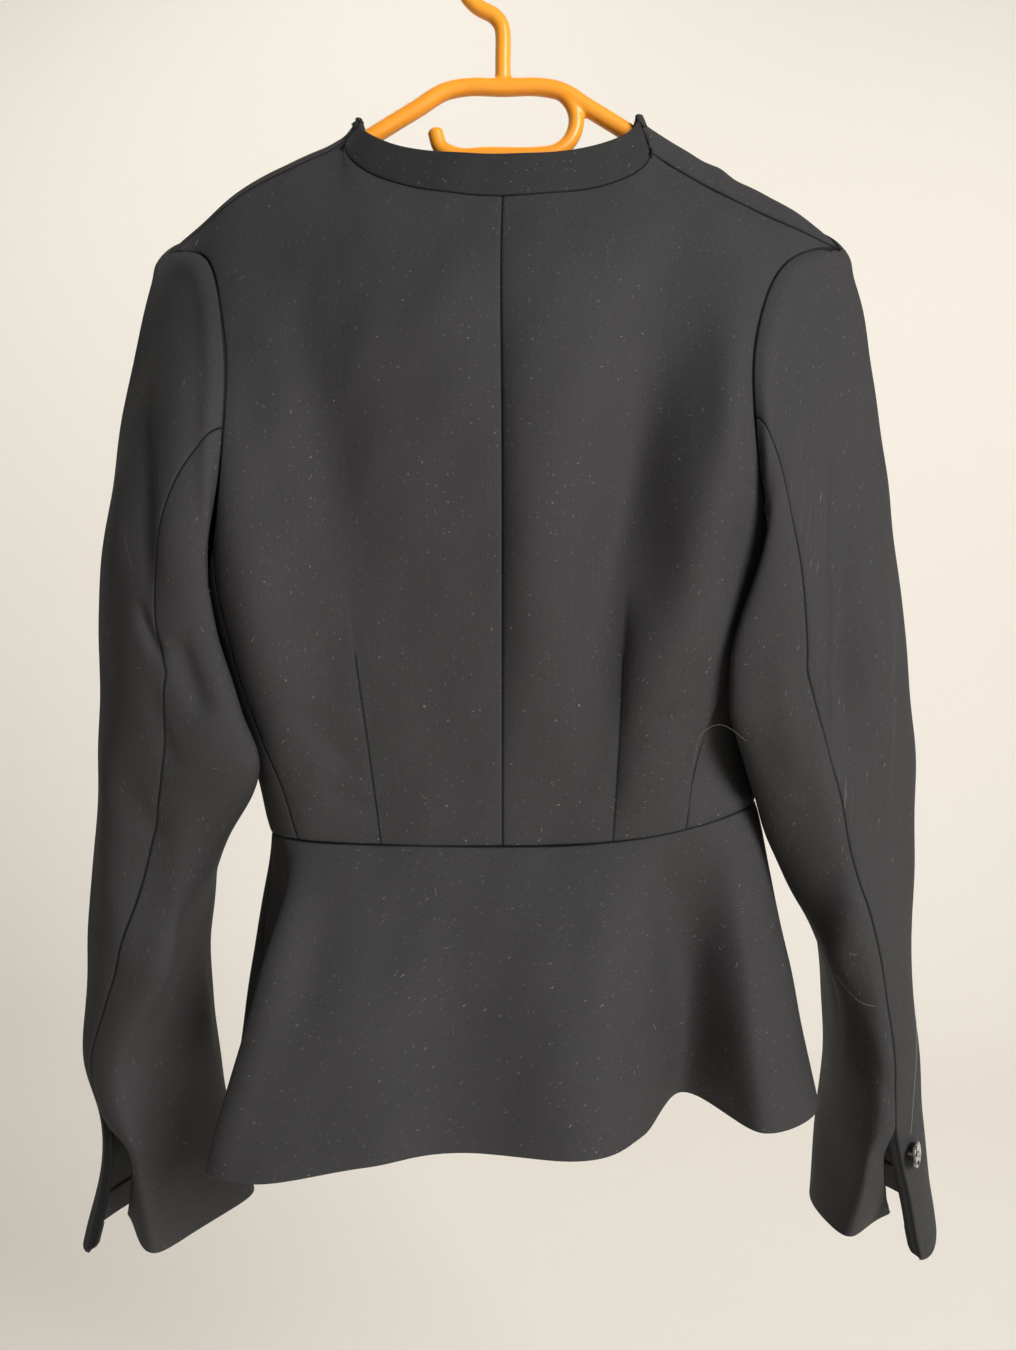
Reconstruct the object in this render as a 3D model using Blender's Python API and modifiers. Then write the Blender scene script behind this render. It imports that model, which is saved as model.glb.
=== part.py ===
"""A collarless peplum blazer hanging on a tubular plastic hanger.

Metres, +Z up, +X towards the wearer's right hand, +Y towards the wearer's front. The origin is the
highest point of the space inside the hanger's hook, where a rail carries it.
"""

import math

import bmesh
import bpy
import numpy as np
from mathutils import Matrix, Vector

# Cloth and seams
CLOTH = 0.0018
SEAM_GAP = 0.0003
SLEEVE_GAP = 0.0005
ARMHOLE_GAP = 0.0006
SHOULDER_GAP = 0.0006
BAND_GAP = 0.0005
BAND_END_GAP = 0.0008
LEFT, RIGHT = -1, 1
SIDE_NAME = {LEFT: "left", RIGHT: "right"}
NEAR = 0.004

# Bodice: rings from the waist seam, level 0, to the neck and shoulder seams, level 1
BODICE_SQUARENESS = 2.5
# The back is flatter than the rings, which take over towards the sides
BACK_FLATNESS = 5.0
FLAT_FADE = 4
# Columns: level, x_left, x_right, y_back, y_front
BODICE = (
    (0.00, -0.137, 0.149, -0.058, 0.066),
    (0.10, -0.145, 0.149, -0.061, 0.071),
    (0.22, -0.158, 0.156, -0.067, 0.077),
    (0.36, -0.171, 0.168, -0.074, 0.083),
    (0.52, -0.180, 0.178, -0.080, 0.083),
    (0.70, -0.189, 0.189, -0.082, 0.075),
    (0.86, -0.195, 0.196, -0.071, 0.060),
    (1.00, -0.199, 0.200, -0.045, 0.045),
)
WAIST_Z = {"back": -0.537, "front": -0.535, LEFT: -0.533, RIGHT: -0.515}
TOP_Z = {"back": -0.171, "front": -0.185, LEFT: -0.190, RIGHT: -0.189}

# Shoulders: the ridge over each arm of the hanger, by distance from the middle
# Columns: reach, z
RIDGE = {
    LEFT: (
        (0.0858, -0.1110), (0.0980, -0.1215), (0.1220, -0.1335), (0.1460, -0.1450),
        (0.1670, -0.1590), (0.1820, -0.1735), (0.1985, -0.1895),
    ),
    RIGHT: (
        (0.0805, -0.1095), (0.0912, -0.1168), (0.1120, -0.1290), (0.1390, -0.1430),
        (0.1600, -0.1545), (0.1780, -0.1660), (0.2000, -0.1850),
    ),
}
# Shoulder seams behind the ridge, at the neck and at the sleeve: reach, y and drop below the ridge
SHOULDER_NECK = {LEFT: (0.0950, -0.0065, 0.0055), RIGHT: (0.0870, -0.0125, 0.0195)}
SHOULDER_TIP = {LEFT: (0.1985, -0.0060, 0.0030), RIGHT: (0.2000, -0.0075, 0.0040)}
# Where the cloth comes down in front of the ridge
RIDGE_Y = 0.0015
FRONT_FALL_NECK = (0.0140, 0.0130)
FRONT_FALL_TIP = (0.0110, 0.0100)
NECK_SHARE = 0.25
BAND_SHARE = 0.12
SHOULDER_REACH = 0.45
SOFTEN = 0.9
SOFTEN_MOST = 0.2
SOFTEN_SPREAD = ((-1.0, 0.125), (-0.5, 0.25), (0.0, 0.25), (0.5, 0.25), (1.0, 0.125))
WRAP_LEVEL = 0.90
STRETCH_LEVEL = 0.5

# Back neck band
BAND_TOP_BACK = (0.0, -0.040, -0.1466)
BAND_TOP_SIDE = {LEFT: (-0.0858, -0.006, -0.1125), RIGHT: (0.0805, -0.007, -0.1115)}
BAND_OVER_RIDGE = (-0.0005, 0.007, 0.0012)
BAND_OVER_FRONT = (-0.0015, 0.017, -0.0035)

# Armholes, as an oval on the bodice: its lowest level, and its half-widths as shares of a ring's quarter
ARMHOLE_BOTTOM = 0.355
ARMHOLE_BACK = {LEFT: 0.42, RIGHT: 0.52}
ARMHOLE_FRONT = 0.40
ARMHOLE_TIP_BACK = 1.6
ARMHOLE_TIP_FRONT = 3.0
SEAM_TURN = 1.45
# Grid steps that neighbours share: up a side seam, on round the armhole, under the arm, along the shoulder
SEAM_ROWS = 10
ARMHOLE_STEPS = 12
UNDERARM_STEPS = 8
SHOULDER_STEPS = 6
NECK_STEPS = 6
BAND_STEPS = 3
TIP_STEP = 0.5

# Seams between back and side panels, and between side panels and fronts, in shares of a ring's quarter
# Columns: level, back_left, back_right, front
SIDE_SEAM = (
    (0.00, 0.594, 0.430, 1.40),
    (0.10, 0.630, 0.460, 1.37),
    (0.23, 0.680, 0.530, 1.33),
    (0.36, 0.690, 0.620, 1.31),
)
FRONT_BREAK = 0.46
FRONT_GAP = 0.0015

# The right side panel tucks in behind the back's edge
TUCK_DEPTH = 0.034
TUCK_LEVELS = (0.02, 0.39)

# Largest soft folds of the back: ends as x and z, width, depth inwards
# Columns: x_top, z_top, x_bottom, z_bottom, width, depth
BACK_FOLDS = (
    (0.093, -0.165, 0.040, -0.530, 0.026, 0.016),
    (0.148, -0.165, 0.077, -0.545, 0.028, -0.017),
    (-0.124, -0.170, -0.072, -0.450, 0.019, 0.007),
    (-0.186, -0.195, -0.098, -0.620, 0.028, -0.017),
)

# Peplum: the hem's crests and hollows, by the place on the waist that each hangs from
# Columns: turn, x, y, z
HEM = (
    (-2.00, -0.008, 0.098, -0.690),
    (-1.75, -0.060, 0.080, -0.690),
    (-1.50, -0.112, 0.110, -0.694),
    (-1.25, -0.132, 0.070, -0.692),
    (-1.02, -0.167, 0.026, -0.697),
    (-0.72, -0.112, -0.022, -0.692),
    (-0.52, -0.154, -0.090, -0.703),
    (-0.40, -0.133, -0.104, -0.704),
    (-0.16, -0.070, -0.103, -0.696),
    (0.00, -0.018, -0.094, -0.692),
    (0.10, 0.036, -0.103, -0.693),
    (0.26, 0.076, -0.076, -0.690),
    (0.42, 0.104, -0.012, -0.688),
    (0.64, 0.146, -0.052, -0.697),
    (0.82, 0.180, -0.032, -0.693),
    (1.00, 0.185, 0.014, -0.686),
    (1.25, 0.146, 0.062, -0.688),
    (1.50, 0.116, 0.108, -0.692),
    (1.75, 0.062, 0.080, -0.690),
    (2.00, 0.008, 0.098, -0.690),
)
PEPLUM_SIDE_SEAM = {LEFT: -0.90, RIGHT: 0.96}
PEPLUM_EASE = 1.12

# Sleeves: rings at heights z through five named places; seam is where the back seam runs, in ring turns.
# The cap rows give the way the cloth leaves the armhole, and how far it holds that way
SLEEVE_TURNS = (0.0, 1.0, 1.5, 2.0, 3.0)
# Columns: z, then x and y of outer, back, lap, inner and front, then seam
SLEEVE = {
    LEFT: (
        (-0.440, -0.241, 0.000, -0.189, -0.073, -0.149, -0.070, -0.180, 0.002, -0.205, 0.062, 1.08),
        (-0.462, -0.241, 0.000, -0.182, -0.073, -0.142, -0.069, -0.176, 0.001, -0.204, 0.064, 0.96),
        (-0.488, -0.242, 0.000, -0.174, -0.070, -0.134, -0.065, -0.169, 0.000, -0.203, 0.066, 0.85),
        (-0.550, -0.245, 0.000, -0.180, -0.050, -0.166, -0.030, -0.173, 0.010, -0.204, 0.070, 0.70),
        (-0.610, -0.248, 0.000, -0.195, -0.040, -0.190, -0.015, -0.184, 0.030, -0.210, 0.076, 0.59),
        (-0.670, -0.250, 0.002, -0.217, -0.032, -0.201, -0.004, -0.184, 0.042, -0.213, 0.082, 0.46),
        (-0.720, -0.239, 0.006, -0.208, -0.033, -0.193, 0.002, -0.177, 0.050, -0.210, 0.085, 0.38),
        (-0.775, -0.245, 0.010, -0.200, -0.031, -0.182, 0.005, -0.161, 0.052, -0.206, 0.088, 0.35),
    ),
    RIGHT: (
        (-0.440, 0.2430, 0.000, 0.166, -0.077, 0.123, -0.073, 0.179, 0.002, 0.206, 0.060, 1.02),
        (-0.465, 0.2450, 0.000, 0.167, -0.073, 0.124, -0.068, 0.174, 0.001, 0.206, 0.063, 0.94),
        (-0.490, 0.2465, 0.000, 0.172, -0.066, 0.134, -0.056, 0.168, 0.000, 0.207, 0.066, 0.88),
        (-0.550, 0.247, 0.000, 0.188, -0.052, 0.159, -0.032, 0.174, 0.012, 0.208, 0.072, 0.86),
        (-0.610, 0.2445, 0.000, 0.207, -0.042, 0.192, -0.016, 0.197, 0.028, 0.212, 0.078, 0.80),
        (-0.670, 0.249, 0.002, 0.214, -0.038, 0.204, -0.006, 0.204, 0.036, 0.218, 0.082, 0.73),
        (-0.720, 0.254, 0.006, 0.210, -0.036, 0.201, -0.002, 0.199, 0.036, 0.221, 0.085, 0.65),
        (-0.770, 0.260, 0.012, 0.204, -0.032, 0.194, 0.002, 0.192, 0.036, 0.224, 0.086, 0.62),
    ),
}
# Columns: turn, out, front, up, reach
CAP = (
    (0.0, 1.00, 0.00, 0.30, 0.013),
    (1.0, 0.85, -0.35, 0.00, 0.012),
    (1.5, 0.12, -1.00, 0.00, 0.015),
    (2.0, 1.00, -0.10, -0.30, 0.007),
    (3.0, 0.80, 0.45, 0.00, 0.016),
)
CAP_FALL = 0.45
CAP_EASE = 1.4
CAP_ROWS = 8
SLEEVE_ROWS = 21
SLEEVE_FRONT_SEAM = 4 - SEAM_TURN
BACK_SEAM_STEPS = 9

# Cuff vents along the back seams
VENT_TOP_Z = -0.700
VENT_SPREAD = 0.38
VENT_FLAP = {LEFT: (-0.011, 0.000, -0.007), RIGHT: (0.020, 0.010, -0.015)}
VENT_TUCK = {LEFT: (0.002, 0.036, 0.000), RIGHT: (0.010, 0.040, 0.000)}
VENT_STEP = {LEFT: (0.011, 0.0085, 0.000), RIGHT: (-0.005, 0.004, 0.000)}
VENT_STEP_SHARE = 0.3

# Cuff buttons
BUTTON_RADIUS = 0.0075
BUTTON_THICKNESS = 0.0026
BUTTON_STANDOFF = 0.0024
BUTTON_Z = -0.716
BUTTON_FROM_VENT = {LEFT: 0.55, RIGHT: 0.12}

# Hanger, in the plane y = 0: routes as x and z
TUBE_RADIUS = 0.0054
LIMB_RADIUS = 0.0048
HOOK_RADIUS = 0.0255
HOOK_ARC = (249, -8)
NECK_BEND_RADIUS = 0.014
NECK_BEND_Z = -0.0576
ARM_HALF = (
    (0.000, -0.0895), (0.024, -0.0895), (0.033, -0.0913), (0.052, -0.1025),
    (0.078, -0.1185), (0.104, -0.1350), (0.140, -0.1570), (0.162, -0.1710),
)
LOOP_RADIUS = 0.0200
LOOP_X = 0.024
LOOP_END = ((-0.0100, -0.1298), (-0.0290, -0.1298), (-0.0375, -0.1255), (-0.0405, -0.1165))


def smooth(knots, values, place):
    """The value at a place on the smooth curve through values at uneven knots."""
    knots, values = np.asarray(knots, float), np.asarray(values, float)
    slopes = np.gradient(values, knots, axis=0)
    first = int(np.clip(np.searchsorted(knots, place) - 1, 0, len(knots) - 2))
    step = knots[first + 1] - knots[first]
    s = (place - knots[first]) / step
    return (
        values[first] * (1 + 2 * s) * (1 - s) ** 2
        + slopes[first] * step * s * (1 - s) ** 2
        + values[first + 1] * s * s * (3 - 2 * s)
        + slopes[first + 1] * step * s * s * (s - 1)
    )


def smooth_ring(turns, values, turn):
    """The same on a closed ring of four turns."""
    turns, values = np.asarray(turns), np.asarray(values)
    knots = np.concatenate([turns[-2:] - 4, turns, turns[:2] + 4])
    return smooth(knots, np.concatenate([values[-2:], values, values[:2]]), turn % 4)


def row_at(table, place):
    """A table's columns after the first, at a place along its first column."""
    table = np.asarray(table, float)
    return smooth(table[:, 0], table[:, 1:], place)


def between(a, b, share):
    return np.asarray(a, float) * (1 - share) + np.asarray(b, float) * share


def ramp(x):
    x = min(max(x, 0.0), 1.0)
    return x * x * (3 - 2 * x)


def bodice_ring(side, turn, level):
    """A plain ring point: turn 0 is the centre back, 1 the side and 2 the centre front."""
    x_left, x_right, y_back, y_front = row_at(BODICE, level)
    reach = x_right if side == RIGHT else -x_left
    depth, end = (y_back, "back") if turn <= 1 else (y_front, "front")
    across = math.sin(min(max(turn, 0.0), 2.0) * math.pi / 2)
    along = math.sqrt(max(0.0, 1 - across * across))
    power = 2 / BODICE_SQUARENESS
    flat = between(2 / BACK_FLATNESS, power, min(max(turn, 0.0), 1.0) ** FLAT_FADE)
    heights = {key: between(WAIST_Z[key], TOP_Z[key], level) for key in (end, side)}
    z = heights[end] * along**2 + heights[side] * across**2
    return np.array([side * reach * across**power, depth * along**flat, z])


def shoulder(side, share):
    """The shoulder's seam, ridge and front fall, at a share of the way from the neck to the sleeve."""
    reach, y, drop = between(SHOULDER_NECK[side], SHOULDER_TIP[side], share)
    drop = between(SHOULDER_NECK[side][2], SHOULDER_TIP[side][2], share**4)
    fall_y, fall = between(FRONT_FALL_NECK, FRONT_FALL_TIP, share**3)
    z = float(row_at(RIDGE[side], reach)[0])
    x = side * reach
    return np.array([[x, y, z - drop], [x, RIDGE_Y, z], [x, fall_y, z - fall]])


def neck_seam(side, share):
    """The back neck seam, from the centre back to the shoulder seam."""
    angle = share * math.pi / 2
    start, end = bodice_ring(side, 0.0, 1.0), shoulder(side, 0.0)[0]
    rise = 1 - math.cos(angle)
    return np.array([end[0] * math.sin(angle), *(start[1:] + (end[1:] - start[1:]) * rise)])


def back_top(side, turn):
    """Where the back ends at level 1: its neck seam, then its shoulder seam."""
    if turn < NECK_SHARE:
        return neck_seam(side, turn / NECK_SHARE)
    return shoulder(side, (turn - NECK_SHARE) / (1 - NECK_SHARE))[0]


def front_top(side, from_front):
    """The front's seam, ridge and fall at the shoulder, and along the end of its neck band."""
    if from_front >= NECK_SHARE:
        return shoulder(side, (from_front - NECK_SHARE) / (1 - NECK_SHARE))
    corner = np.array(BAND_TOP_SIDE[side])
    mirror = np.array([side, 1, 1])
    band = np.array([corner, corner + BAND_OVER_RIDGE * mirror, corner + BAND_OVER_FRONT * mirror])
    return between(band, shoulder(side, 0.0), max(0.0, (from_front - BAND_SHARE) / (NECK_SHARE - BAND_SHARE)))


def fold_depth(point):
    """How far the back's soft folds push a point inwards."""
    total = 0.0
    for x_top, z_top, x_bottom, z_bottom, width, depth in BACK_FOLDS:
        along = (point[2] - z_top) / (z_bottom - z_top)
        off = point[0] - (x_top + (x_bottom - x_top) * along)
        total += depth * ramp(2 * along) * ramp(2 - 2 * along) * math.exp(-((off / width) ** 2))
    return total


def tuck_depth(turn, level):
    """How far the right side panel is pushed in behind the seam with the back."""
    start = side_seam("back", RIGHT, level)
    if not start < turn < 1 + start:
        return 0.0
    low, high = TUCK_LEVELS
    up = min(max((level - low) / (high - low), 0.0), 1.0)
    off = turn - start
    return TUCK_DEPTH * math.sin(math.pi * up) * math.sin(math.pi * off) ** (1 if off < 0.5 else 2)


def near_top(level):
    return max(0.0, (level - SHOULDER_REACH) / (1 - SHOULDER_REACH)) ** 2


def bodice_back(side, turn, level):
    """The back follows the rings, and its top edge more and more towards the top."""
    point = bodice_ring(side, turn, level)
    spread = min(SOFTEN * (1 - level), SOFTEN_MOST)
    for shift, weight in SOFTEN_SPREAD:
        near = min(turn + shift * spread, 1.0)
        near_side = side if near >= 0 else -side
        lift = back_top(near_side, abs(near)) - bodice_ring(near_side, abs(near), 1.0)
        point = point + weight * near_top(level) * lift
    point[1] += fold_depth(point) * (1 - min(turn, 1.0) ** 8)
    return point


def bodice_front(side, turn, level):
    """The front rises to its fall line, then wraps over the ridge to the shoulder seam."""
    from_front = max(2 - turn, BAND_SHARE)
    seam, ridge, fall = front_top(side, from_front)
    if level > WRAP_LEVEL:
        over = (level - WRAP_LEVEL) / (1 - WRAP_LEVEL)
        height = (ridge[2] - (fall[2] + seam[2]) / 8) / 0.75
        rise, descent = np.array([*fall[:2], height]), np.array([*seam[:2], height])
        a, b = 1 - over, over
        return a**3 * fall + 3 * a * a * b * rise + 3 * a * b * b * descent + b**3 * seam
    if level > STRETCH_LEVEL:
        level = STRETCH_LEVEL + (level - STRETCH_LEVEL) * (1 - STRETCH_LEVEL) / (WRAP_LEVEL - STRETCH_LEVEL)
    lift = near_top(level)
    return bodice_ring(side, turn, level) + lift * (fall - bodice_ring(side, 2 - from_front, 1.0))


def bodice(side, turn, level):
    """A point of the bodice's outer surface. Turns below 0 lie on the other side of the centre back."""
    if turn < 0:
        return bodice(-side, -turn, level)
    point = bodice_back(side, turn, level) if turn < 1 else bodice_front(side, turn, level)
    if side == RIGHT:
        point[1] += tuck_depth(turn, level)
    return point


def armhole_place(side, loop):
    """Turn and level on the bodice of a place on the armhole: 0 shoulder, 1 back, 2 underarm, 3 front."""
    middle, half = (1 + ARMHOLE_BOTTOM) / 2, (1 - ARMHOLE_BOTTOM) / 2
    across, up = math.sin(loop * math.pi / 2), math.cos(loop * math.pi / 2)
    if across > 0:
        turn = 1 - ARMHOLE_BACK[side] * across ** (ARMHOLE_TIP_BACK if up > 0 else 1)
    else:
        turn = 1 + ARMHOLE_FRONT * (-across) ** (ARMHOLE_TIP_FRONT if up > 0 else 1)
    return turn, middle + half * up


def armhole(side, loop):
    return bodice(side, *armhole_place(side, loop))


def armhole_turn(side, level, front):
    """The armhole's turn at a level, on its back or front edge."""
    middle, half = (1 + ARMHOLE_BOTTOM) / 2, (1 - ARMHOLE_BOTTOM) / 2
    across = math.sqrt(max(0.0, 1 - ((level - middle) / half) ** 2))
    if front:
        return 1 + ARMHOLE_FRONT * across ** (ARMHOLE_TIP_FRONT if level > middle else 1)
    return 1 - ARMHOLE_BACK[side] * across ** (ARMHOLE_TIP_BACK if level > middle else 1)


def side_seam(which, side, level):
    """The turn of a side panel's back or front seam, which ends on the armhole."""
    turn, top = armhole_place(side, SEAM_TURN if which == "back" else 4 - SEAM_TURN)
    table = np.array(SIDE_SEAM)
    column = 3 if which == "front" else (1 if side == LEFT else 2)
    knots, turns = np.append(table[:, 0], top), np.append(table[:, column], turn)
    return float(smooth(knots, turns, min(level, top)))


def outer_turn(which, side, level):
    """Where a back or front panel ends: the side panel's seam, then the armhole."""
    top = armhole_place(side, SEAM_TURN)[1]
    if level < top:
        return side_seam(which, side, level)
    return armhole_turn(side, level, which == "front")


def row_level(v):
    """The level of a back or front row, shared with the side panel's rows and then the armhole's steps."""
    row = v * (SEAM_ROWS + ARMHOLE_STEPS)
    loop = SEAM_TURN * (1 - max(0.0, row - SEAM_ROWS) / ARMHOLE_STEPS)
    return armhole_place(LEFT, loop)[1] * min(1.0, row / SEAM_ROWS)


def back_point(side, u, v):
    level = row_level(v)
    column = u * (NECK_STEPS + SHOULDER_STEPS)
    if column < NECK_STEPS:
        top = NECK_SHARE * column / NECK_STEPS
    else:
        top = NECK_SHARE + (1 - NECK_SHARE) * (column - NECK_STEPS) / SHOULDER_STEPS
    return bodice(side, between(u, top, level**6) * outer_turn("back", side, level), level)


def front_point(side, u, v):
    level = row_level(v)
    opening = BAND_SHARE * max(0.0, (level - FRONT_BREAK) / (1 - FRONT_BREAK)) ** 0.9
    column = u * (BAND_STEPS + SHOULDER_STEPS)
    if column < BAND_STEPS:
        top = BAND_SHARE + (NECK_SHARE - BAND_SHARE) * column / BAND_STEPS
    else:
        top = NECK_SHARE + (1 - NECK_SHARE) * (column - BAND_STEPS) / SHOULDER_STEPS
    share = between(u, (top - BAND_SHARE) / (1 - BAND_SHARE), level**6)
    point = bodice(side, 2 - opening - (2 - outer_turn("front", side, level) - opening) * share, level)
    if u <= 0 and level <= FRONT_BREAK:
        point[0] += side * FRONT_GAP
    return point


def side_point(side, u, v):
    loop = SEAM_TURN + (4 - 2 * SEAM_TURN) * u
    top_turn, top_level = armhole_place(side, loop)
    level = v * top_level
    back, front = side_seam("back", side, level), side_seam("front", side, level)
    back_top, front_top = (side_seam(which, side, 1.0) for which in ("back", "front"))
    turn = back + (front - back) * u + v * v * (top_turn - back_top - (front_top - back_top) * u)
    return bodice(side, turn, level)


def band_point(u, v):
    """The back neck band, from the left shoulder seam round the back to the right one."""
    side = LEFT if u < 0.5 else RIGHT
    share = abs(2 * u - 1)
    angle = share * math.pi / 2
    back, end = np.array(BAND_TOP_BACK), np.array(BAND_TOP_SIDE[side])
    top = np.array([end[0] * math.sin(angle), *(back[1:] + (end[1:] - back[1:]) * (1 - math.cos(angle)))])
    return between(neck_seam(side, share), top, v)


def peplum(turn, drop):
    """The peplum, from the waist seam at drop 0 to the hem at drop 1. Left turns are negative."""
    side = LEFT if turn < 0 else RIGHT
    waist = bodice(side, abs(turn), 0.0)
    waist[0] += side * FRONT_GAP * ramp((abs(turn) - 1.9) / 0.1)
    return between(waist, row_at(HEM, turn), drop**PEPLUM_EASE)


def peplum_point(first, last, u, v):
    return peplum(first + (last - first) * u, 1 - v)


def sleeve_section(side, turn, z):
    row = row_at([(-line[0], *line[1:]) for line in SLEEVE[side]], -z)
    x, y = smooth_ring(SLEEVE_TURNS, row[:-1].reshape(5, 2), turn)
    return np.array([x, y, z])


def sleeve_cap(side, loop, turn, share):
    """From a place on the armhole, at share 0, over the sleeve's head to a turn of its first ring."""
    start = armhole(side, loop % 4)
    top = SLEEVE[side][0][0]
    end = sleeve_section(side, turn, top)
    slope = (end - sleeve_section(side, turn, top - 0.01)) / 0.01
    cap = np.array(CAP)
    out, front, up, reach = smooth_ring(cap[:, 0], cap[:, 1:], loop)
    first = start + np.array([side * out, front, up]) / math.hypot(out, front, up) * reach
    last = end + slope * CAP_FALL * (start[2] - end[2])
    a, b = 1 - share, share
    return a**3 * start + 3 * a * a * b * first + 3 * a * b * b * last + b**3 * end


def sleeve_height(side, v):
    top, bottom = SLEEVE[side][0][0], SLEEVE[side][-1][0]
    return top + (bottom - top) * v


def back_seam(side, z):
    return float(row_at([(-line[0], line[-1]) for line in SLEEVE[side]], -z)[0])


def vent(side, piece, turn, z):
    """How far a cuff vent's edges stand apart."""
    bottom = SLEEVE[side][-1][0]
    drop = max(0.0, (VENT_TOP_Z - z) / (VENT_TOP_Z - bottom))
    off = (turn - back_seam(side, z)) / VENT_SPREAD
    if piece == "upper":
        return np.array(VENT_FLAP[side]) * drop**1.2 * math.exp(-off * off)
    move = between(VENT_STEP[side], VENT_TUCK[side], drop**3)
    return move * ramp(drop / VENT_STEP_SHARE) * math.exp(-off * off)


def sleeve_columns(piece):
    if piece == "upper":
        return ARMHOLE_STEPS + BACK_SEAM_STEPS
    return ARMHOLE_STEPS - BACK_SEAM_STEPS + UNDERARM_STEPS


def armhole_loop(piece, u):
    """The place on the armhole where a sleeve column starts, at a step of the bodice's panels."""
    step, column = SEAM_TURN / ARMHOLE_STEPS, u * sleeve_columns(piece)
    if piece == "upper":
        return step * (column - ARMHOLE_STEPS)
    under = column - (ARMHOLE_STEPS - BACK_SEAM_STEPS)
    return SEAM_TURN + under * (step if under < 0 else (4 - 2 * SEAM_TURN) / UNDERARM_STEPS)


def sleeve_point(side, piece, u, v):
    """A sleeve piece from the armhole, v 0, to the cuff, v 1. The upper piece's u runs from front to back."""
    row = v * SLEEVE_ROWS
    z = sleeve_height(side, max(0.0, (row - CAP_ROWS) / (SLEEVE_ROWS - CAP_ROWS)))
    seam = back_seam(side, z)
    start, end = (SLEEVE_FRONT_SEAM - 4, seam) if piece == "upper" else (seam, SLEEVE_FRONT_SEAM)
    turn = start + (end - start) * u
    if row <= CAP_ROWS:
        return sleeve_cap(side, armhole_loop(piece, u), turn, (max(row, 0.0) / CAP_ROWS) ** CAP_EASE)
    return sleeve_section(side, turn, z) + vent(side, piece, turn, z)


def trimmed(grid, first_row_gap, last_row_gap, side_gap):
    """The grid with its edges drawn back for the seam gaps."""
    for edge, inside, gap in (
        ((0, slice(None)), (1, slice(None)), first_row_gap),
        ((-1, slice(None)), (-2, slice(None)), last_row_gap),
        ((slice(None), 0), (slice(None), 1), side_gap),
        ((slice(None), -1), (slice(None), -2), side_gap),
    ):
        way = grid[inside] - grid[edge]
        grid[edge] += way / np.maximum(np.linalg.norm(way, axis=-1, keepdims=True), gap) * gap
    return grid


def outward(point, u, v, facing):
    """The form's outward direction at a place, from the form on both sides of a seam."""
    low, high = max(0.0, v - NEAR), min(1.0, v + NEAR)
    normal = np.cross(point(u + NEAR, v) - point(u - NEAR, v), point(u, high) - point(u, low)) * facing
    return normal / max(np.linalg.norm(normal), 1e-12)


def linked(name, mesh, material):
    obj = bpy.data.objects.new(name, mesh)
    PARTS.objects.link(obj)
    mesh.materials.append(material)
    return obj


def cloth_panel(
    name, columns, rows, point, material, facing=1,
    first_row_gap=SEAM_GAP / 2, last_row_gap=SEAM_GAP / 2, side_gap=SEAM_GAP / 2, shared=None,
):
    """A panel of cloth: a grid laid on the form point(u, v), extruded inwards by the cloth's thickness."""
    grid = np.array([[point(c / columns, r / rows) for c in range(columns + 1)] for r in range(rows + 1)])
    grid = trimmed(grid, first_row_gap, last_row_gap, side_gap)
    bm = bmesh.new()
    bmesh.ops.create_grid(bm, x_segments=columns, y_segments=rows, size=0.5)
    inwards = bm.verts.layers.float_vector.new("inwards")
    for vert in bm.verts:
        u, v = vert.co.x + 0.5, vert.co.y + 0.5
        way = shared(u, v) if shared else None
        if way is None:
            way = outward(point, u, v, facing)
        vert[inwards] = Vector(way) * -CLOTH
        vert.co = Vector(grid[round(v * rows), round(u * columns)])
    extruded = bmesh.ops.extrude_face_region(bm, geom=bm.faces[:], use_keep_orig=True)
    for vert in extruded["geom"]:
        if isinstance(vert, bmesh.types.BMVert):
            vert.co += vert[inwards]
    bmesh.ops.recalc_face_normals(bm, faces=bm.faces)
    mesh = bpy.data.meshes.new(name)
    bm.to_mesh(mesh)
    bm.free()
    mesh.attributes.remove(mesh.attributes["inwards"])
    return linked(name, mesh, material)


def middle_way(first, second):
    return (first + second) / np.linalg.norm(first + second)


def neck_or_shoulder(side, column):
    """One direction for both cloths at the neck seam, below column 0, or the shoulder seam, from it on."""
    column = min(column, SHOULDER_STEPS - TIP_STEP)
    back_u = (NECK_STEPS + column) / (NECK_STEPS + SHOULDER_STEPS)
    back = outward(lambda a, b: back_point(side, a, b), back_u, 1.0, side)
    if column > -0.5:
        front_u = (BAND_STEPS + column) / (BAND_STEPS + SHOULDER_STEPS)
        return middle_way(back, outward(lambda a, b: front_point(side, a, b), front_u, 1.0, -side))
    band_u = 0.5 + side * 0.5 * (NECK_STEPS + column) / NECK_STEPS
    return middle_way(back, outward(band_point, band_u, 0.0, 1))


def finish(name, colour, roughness, metallic=0.0):
    material = bpy.data.materials.new(name)
    material.use_nodes = True
    shader = material.node_tree.nodes["Principled BSDF"]
    shader.inputs["Base Color"].default_value = (*colour, 1.0)
    shader.inputs["Roughness"].default_value = roughness
    shader.inputs["Metallic"].default_value = metallic
    return material


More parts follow.
